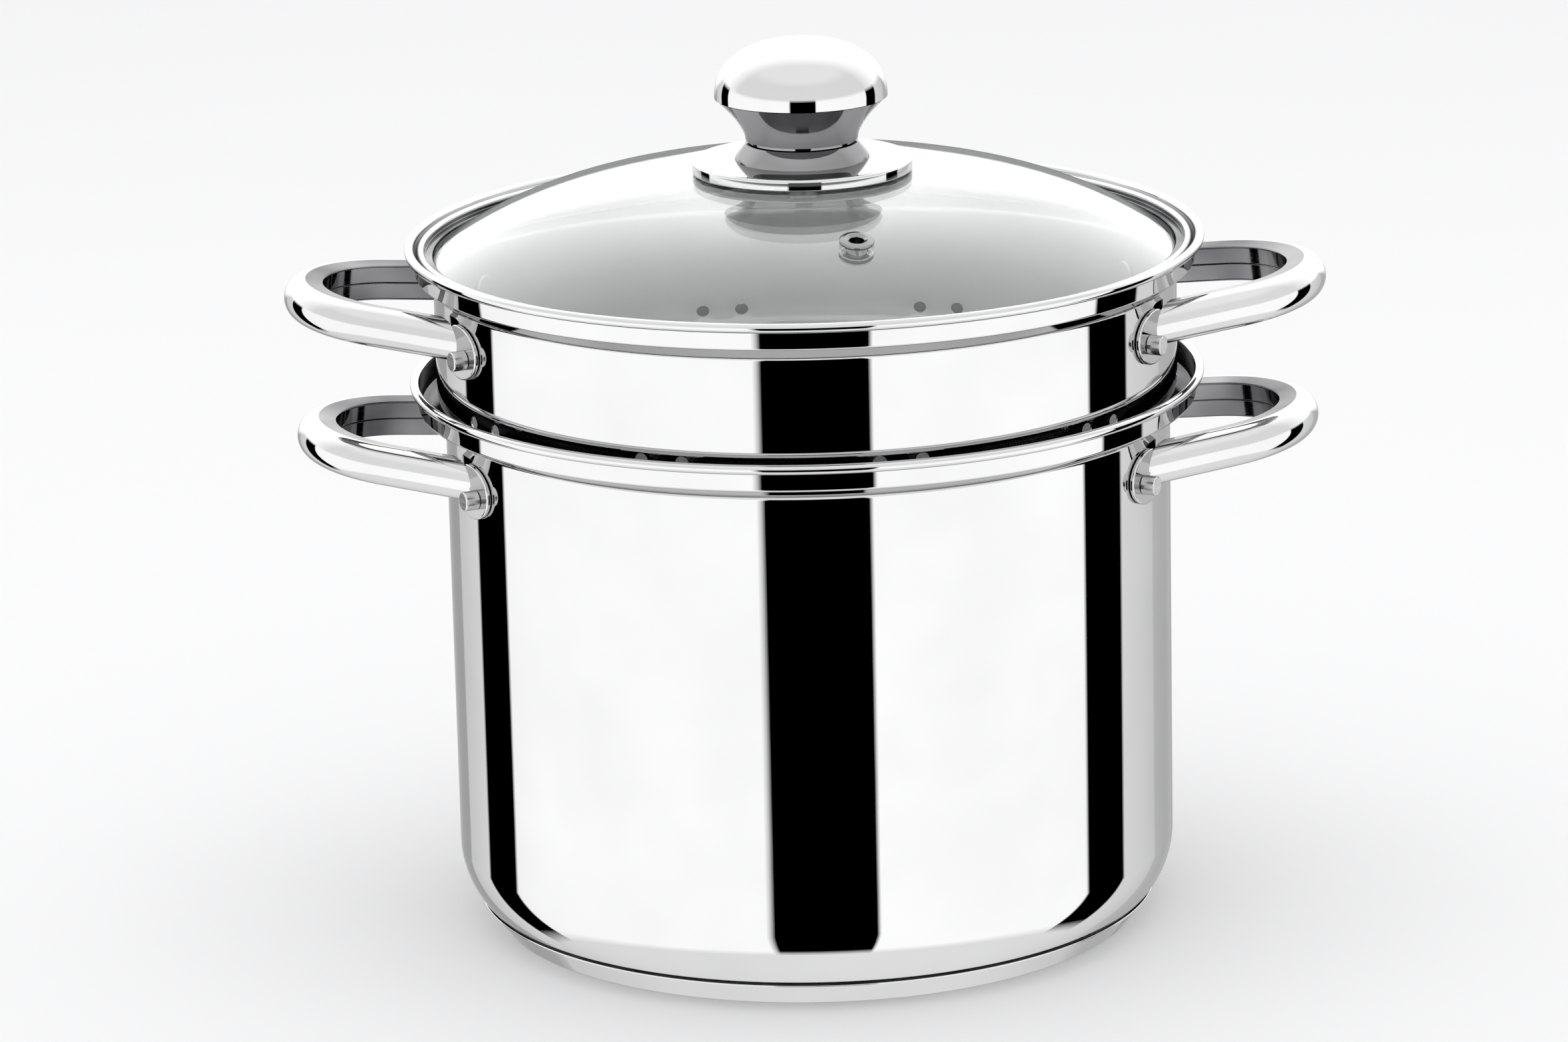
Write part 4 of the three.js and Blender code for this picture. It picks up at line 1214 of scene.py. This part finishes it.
def floor():
    """A wide pale floor, seen by the camera and through glass but not in the steel."""
    made, nodes = material("floor_paint")
    grain = nodes.noise(scale=3.0, detail=2.0)
    shade = tuple(FLOOR_SHADE * c for c in FLOOR_COLOUR[:3]) + (1,)
    paint = nodes.blend(grain, shade, FLOOR_COLOUR)
    shader = nodes.add("ShaderNodeBsdfPrincipled", {**FLOOR_FINISH, "Base Color": paint})
    finish_with(nodes, shader)
    steps = [FLOOR_SIZE * (i / FLOOR_STEPS - 0.5) for i in range(FLOOR_STEPS + 1)]
    count = len(steps)
    points = [(x, y, 0.0) for y in steps for x in steps]
    faces = []
    for row in range(FLOOR_STEPS):
        for i in range(FLOOR_STEPS):
            corner = row * count + i
            faces.append((corner, corner + 1, corner + count + 1, corner + count))
    mesh = bpy.data.meshes.new("floor")
    mesh.from_pydata(points, [], faces)
    mesh.materials.append(made)
    ground = bpy.data.objects.new("floor", mesh)
    bpy.context.scene.collection.objects.link(ground)
    ground.visible_glossy = False


def ramp(nodes, value, stops):
    """A colour ramp of grey stops, (place, grey)."""
    node = nodes.add("ShaderNodeValToRGB", {"Fac": value})
    elements = node.color_ramp.elements
    elements[0].position, elements[1].position = stops[0][0], stops[-1][0]
    elements[0].color = (*[stops[0][1]] * 3, 1)
    elements[1].color = (*[stops[-1][1]] * 3, 1)
    for place, grey in stops[1:-1]:
        elements.new(place).color = (grey, grey, grey, 1)
    return node.outputs["Color"]


def studio():
    """Soft boxes and black flags round the pot, seen in steel and glass. All else sees a pale room."""
    world = bpy.data.worlds.new("studio")
    world.use_nodes = True
    bpy.context.scene.world = world
    nodes = Nodes(world.node_tree)
    way = nodes.add("ShaderNodeTexCoord").outputs["Generated"]
    parts = nodes.add("ShaderNodeSeparateXYZ", {"Vector": way}).outputs
    front = nodes.math("MULTIPLY", parts["Y"], -1.0)
    around = nodes.math("DEGREES", nodes.math("ARCTAN2", parts["X"], front))
    upward = nodes.math("DEGREES", nodes.math("ARCSINE", parts["Z"]))
    stops = []
    before = STUDIO_ROUND[0][1]
    for degrees, grey in STUDIO_ROUND:
        if stops:
            stops.append(((degrees - STRIP_EDGE + 180) / 360, before))
        stops.append(((degrees + STRIP_EDGE + 180) / 360 if stops else 0.0, grey))
        before = grey
    stops.append((1.0, before))
    walls = ramp(nodes, nodes.range(around, 0.0, 1.0, -180.0, 180.0), stops)
    above_ground = nodes.range(upward, 0.0, 1.0, STRIP_LOW - ZONE_EDGE, STRIP_LOW + ZONE_EDGE)
    lifted = nodes.math("ADD", upward, nodes.range(parts["Y"], 0.0, BACK_DROP, DROP_START, DROP_END))
    above_strips = nodes.range(lifted, 0.0, 1.0, STRIP_HIGH - ZONE_EDGE, STRIP_HIGH + ZONE_EDGE)
    overhead = nodes.range(upward, UPPER_FRONT, OVERHEAD, OVERHEAD_START, OVERHEAD_END)
    behind = nodes.range(parts["Y"], UPPER_FRONT, BACK, BACK_START, BACK_END)
    upper = nodes.math("MAXIMUM", overhead, behind)
    lower = nodes.blend(above_ground, GROUND, walls, "FLOAT")
    whole = nodes.blend(above_strips, lower, upper, "FLOAT")
    boxes = nodes.add("ShaderNodeBackground", {"Color": whole, "Strength": STUDIO_STRENGTH})
    room = nodes.add("ShaderNodeBackground", {"Color": AIR_COLOUR, "Strength": 1.0})
    path = nodes.add("ShaderNodeLightPath").outputs
    mirrored = nodes.math("MAXIMUM", path["Is Glossy Ray"], path["Is Transmission Ray"])
    mixed = nodes.add("ShaderNodeMixShader", {0: mirrored, 1: room.outputs[0], 2: boxes.outputs[0]})
    nodes.add("ShaderNodeOutputWorld", {"Surface": mixed.outputs[0]})


LAMP_POWER = 9.0
LAMP_SIZE = 1.6
LAMP_PLACE = (0.0, -0.2, 2.2)


def lamp():
    """One wide soft lamp overhead, for the shadow on the floor."""
    light = bpy.data.lights.new("overhead", "AREA")
    light.energy = LAMP_POWER
    light.size = LAMP_SIZE
    holder = bpy.data.objects.new("overhead", light)
    holder.location = LAMP_PLACE
    holder.visible_glossy = False
    holder.visible_transmission = False
    bpy.context.scene.collection.objects.link(holder)


def camera():
    """The photograph's camera."""
    down, roll = math.radians(CAMERA_DOWN), math.radians(CAMERA_ROLL)
    back = Vector((0, -math.cos(down), math.sin(down)))
    right = Vector((1, 0, 0))
    up = back.cross(right)
    rolled_right = math.cos(roll) * right + math.sin(roll) * up
    rolled_up = math.cos(roll) * up - math.sin(roll) * right
    lens = bpy.data.cameras.new("camera")
    lens.sensor_fit = "HORIZONTAL"
    lens.sensor_width = SENSOR
    lens.lens = PHOTO_FOCUS / PHOTO_WIDTH * SENSOR
    lens.clip_end = CAMERA_FAR * MM
    holder = bpy.data.objects.new("camera", lens)
    turn = Matrix((rolled_right, rolled_up, back)).transposed().to_4x4()
    holder.matrix_world = Matrix.Translation(Vector(CAMERA_PLACE) * MM) @ turn
    bpy.context.scene.collection.objects.link(holder)
    bpy.context.scene.camera = holder


# Painted shade low inside the insert: the steel darkens from 140 mm down to 85 mm
BASKET_FOOT_SHADE = ((0.24, 0.24, 0.245, 1), 85.0, 140.0)
ALUMINIUM_COLOURS = ((0.66, 0.67, 0.68, 1), (0.74, 0.75, 0.76, 1))

polished = steel("polished_steel_skin", greys(0.64, 0.68), roughness=(0.008, 0.025), waviness=0.015)
# A brighter, partly diffuse copy of the steel for the pot's inside and its rivet heads: painted light
inner = steel("inner_lit_steel_skin", greys(0.86, 0.92), roughness=(0.14, 0.24), waviness=0.06, metallic=0.7)
# A brighter, nearly diffuse copy of the steel for the insert's inside and its rivet heads: painted light,
# with painted shade low down
basket_light_and_shade = steel(
    "basket_light_and_shade_skin", greys(0.88, 0.96), roughness=(0.06, 0.12), waviness=0.3, metallic=0.15,
    foot=BASKET_FOOT_SHADE,
)
# Near-black steel for the pot's rim inside: painted shade between pot and insert, which also darkens the
# strainer holes
rim_shade = steel("rim_shade_steel_skin", greys(0.07, 0.16), roughness=(0.12, 0.22), waviness=0.05)
# Dark steel for the handles' flat inner sides and the lid ring's inside: painted shade
fold_shade = steel("fold_shade_steel_skin", greys(0.06, 0.36), roughness=(0.05, 0.12), waviness=0.1)
# Darkened steel for the knob's neck and collar, under its cap, and for the vent eyelet: painted shade
grey_shade = steel("grey_shade_steel_skin", greys(0.22, 0.36), roughness=(0.03, 0.08), waviness=0.03)
satin = steel("satin_steel_skin", greys(0.64, 0.72), roughness=(0.18, 0.3), waviness=0.03)
aluminium = steel("aluminium_skin", ALUMINIUM_COLOURS, roughness=(0.4, 0.55), waviness=0.1)
glass = clear_glass("lid_glass_skin")
rubber = silicone("silicone_skin")

pot_shell(polished, inner, rim_shade)
pot_base(polished)
handles("pot", POT_R, POT_WALL, POT_HEIGHT - POT_EAR_DROP, (polished, fold_shade), (satin, inner))
insert_shell(polished, basket_light_and_shade)
handles("insert", INSERT_R, INSERT_WALL, INSERT_TOP - INSERT_EAR_DROP, (polished, fold_shade), (satin, basket_light_and_shade))
lid_dome(glass)
lid_band(polished, fold_shade)
vent(grey_shade)
knob_flange(polished, grey_shade)
knob_neck(grey_shade)
knob_cap(polished)
knob_fixings(satin, rubber)
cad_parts["base_core"].material_slots[0].material = aluminium
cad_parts["knob_boss"].material_slots[0].material = satin

floor()
studio()
lamp()
camera()
bpy.context.scene.view_settings.view_transform = "Standard"
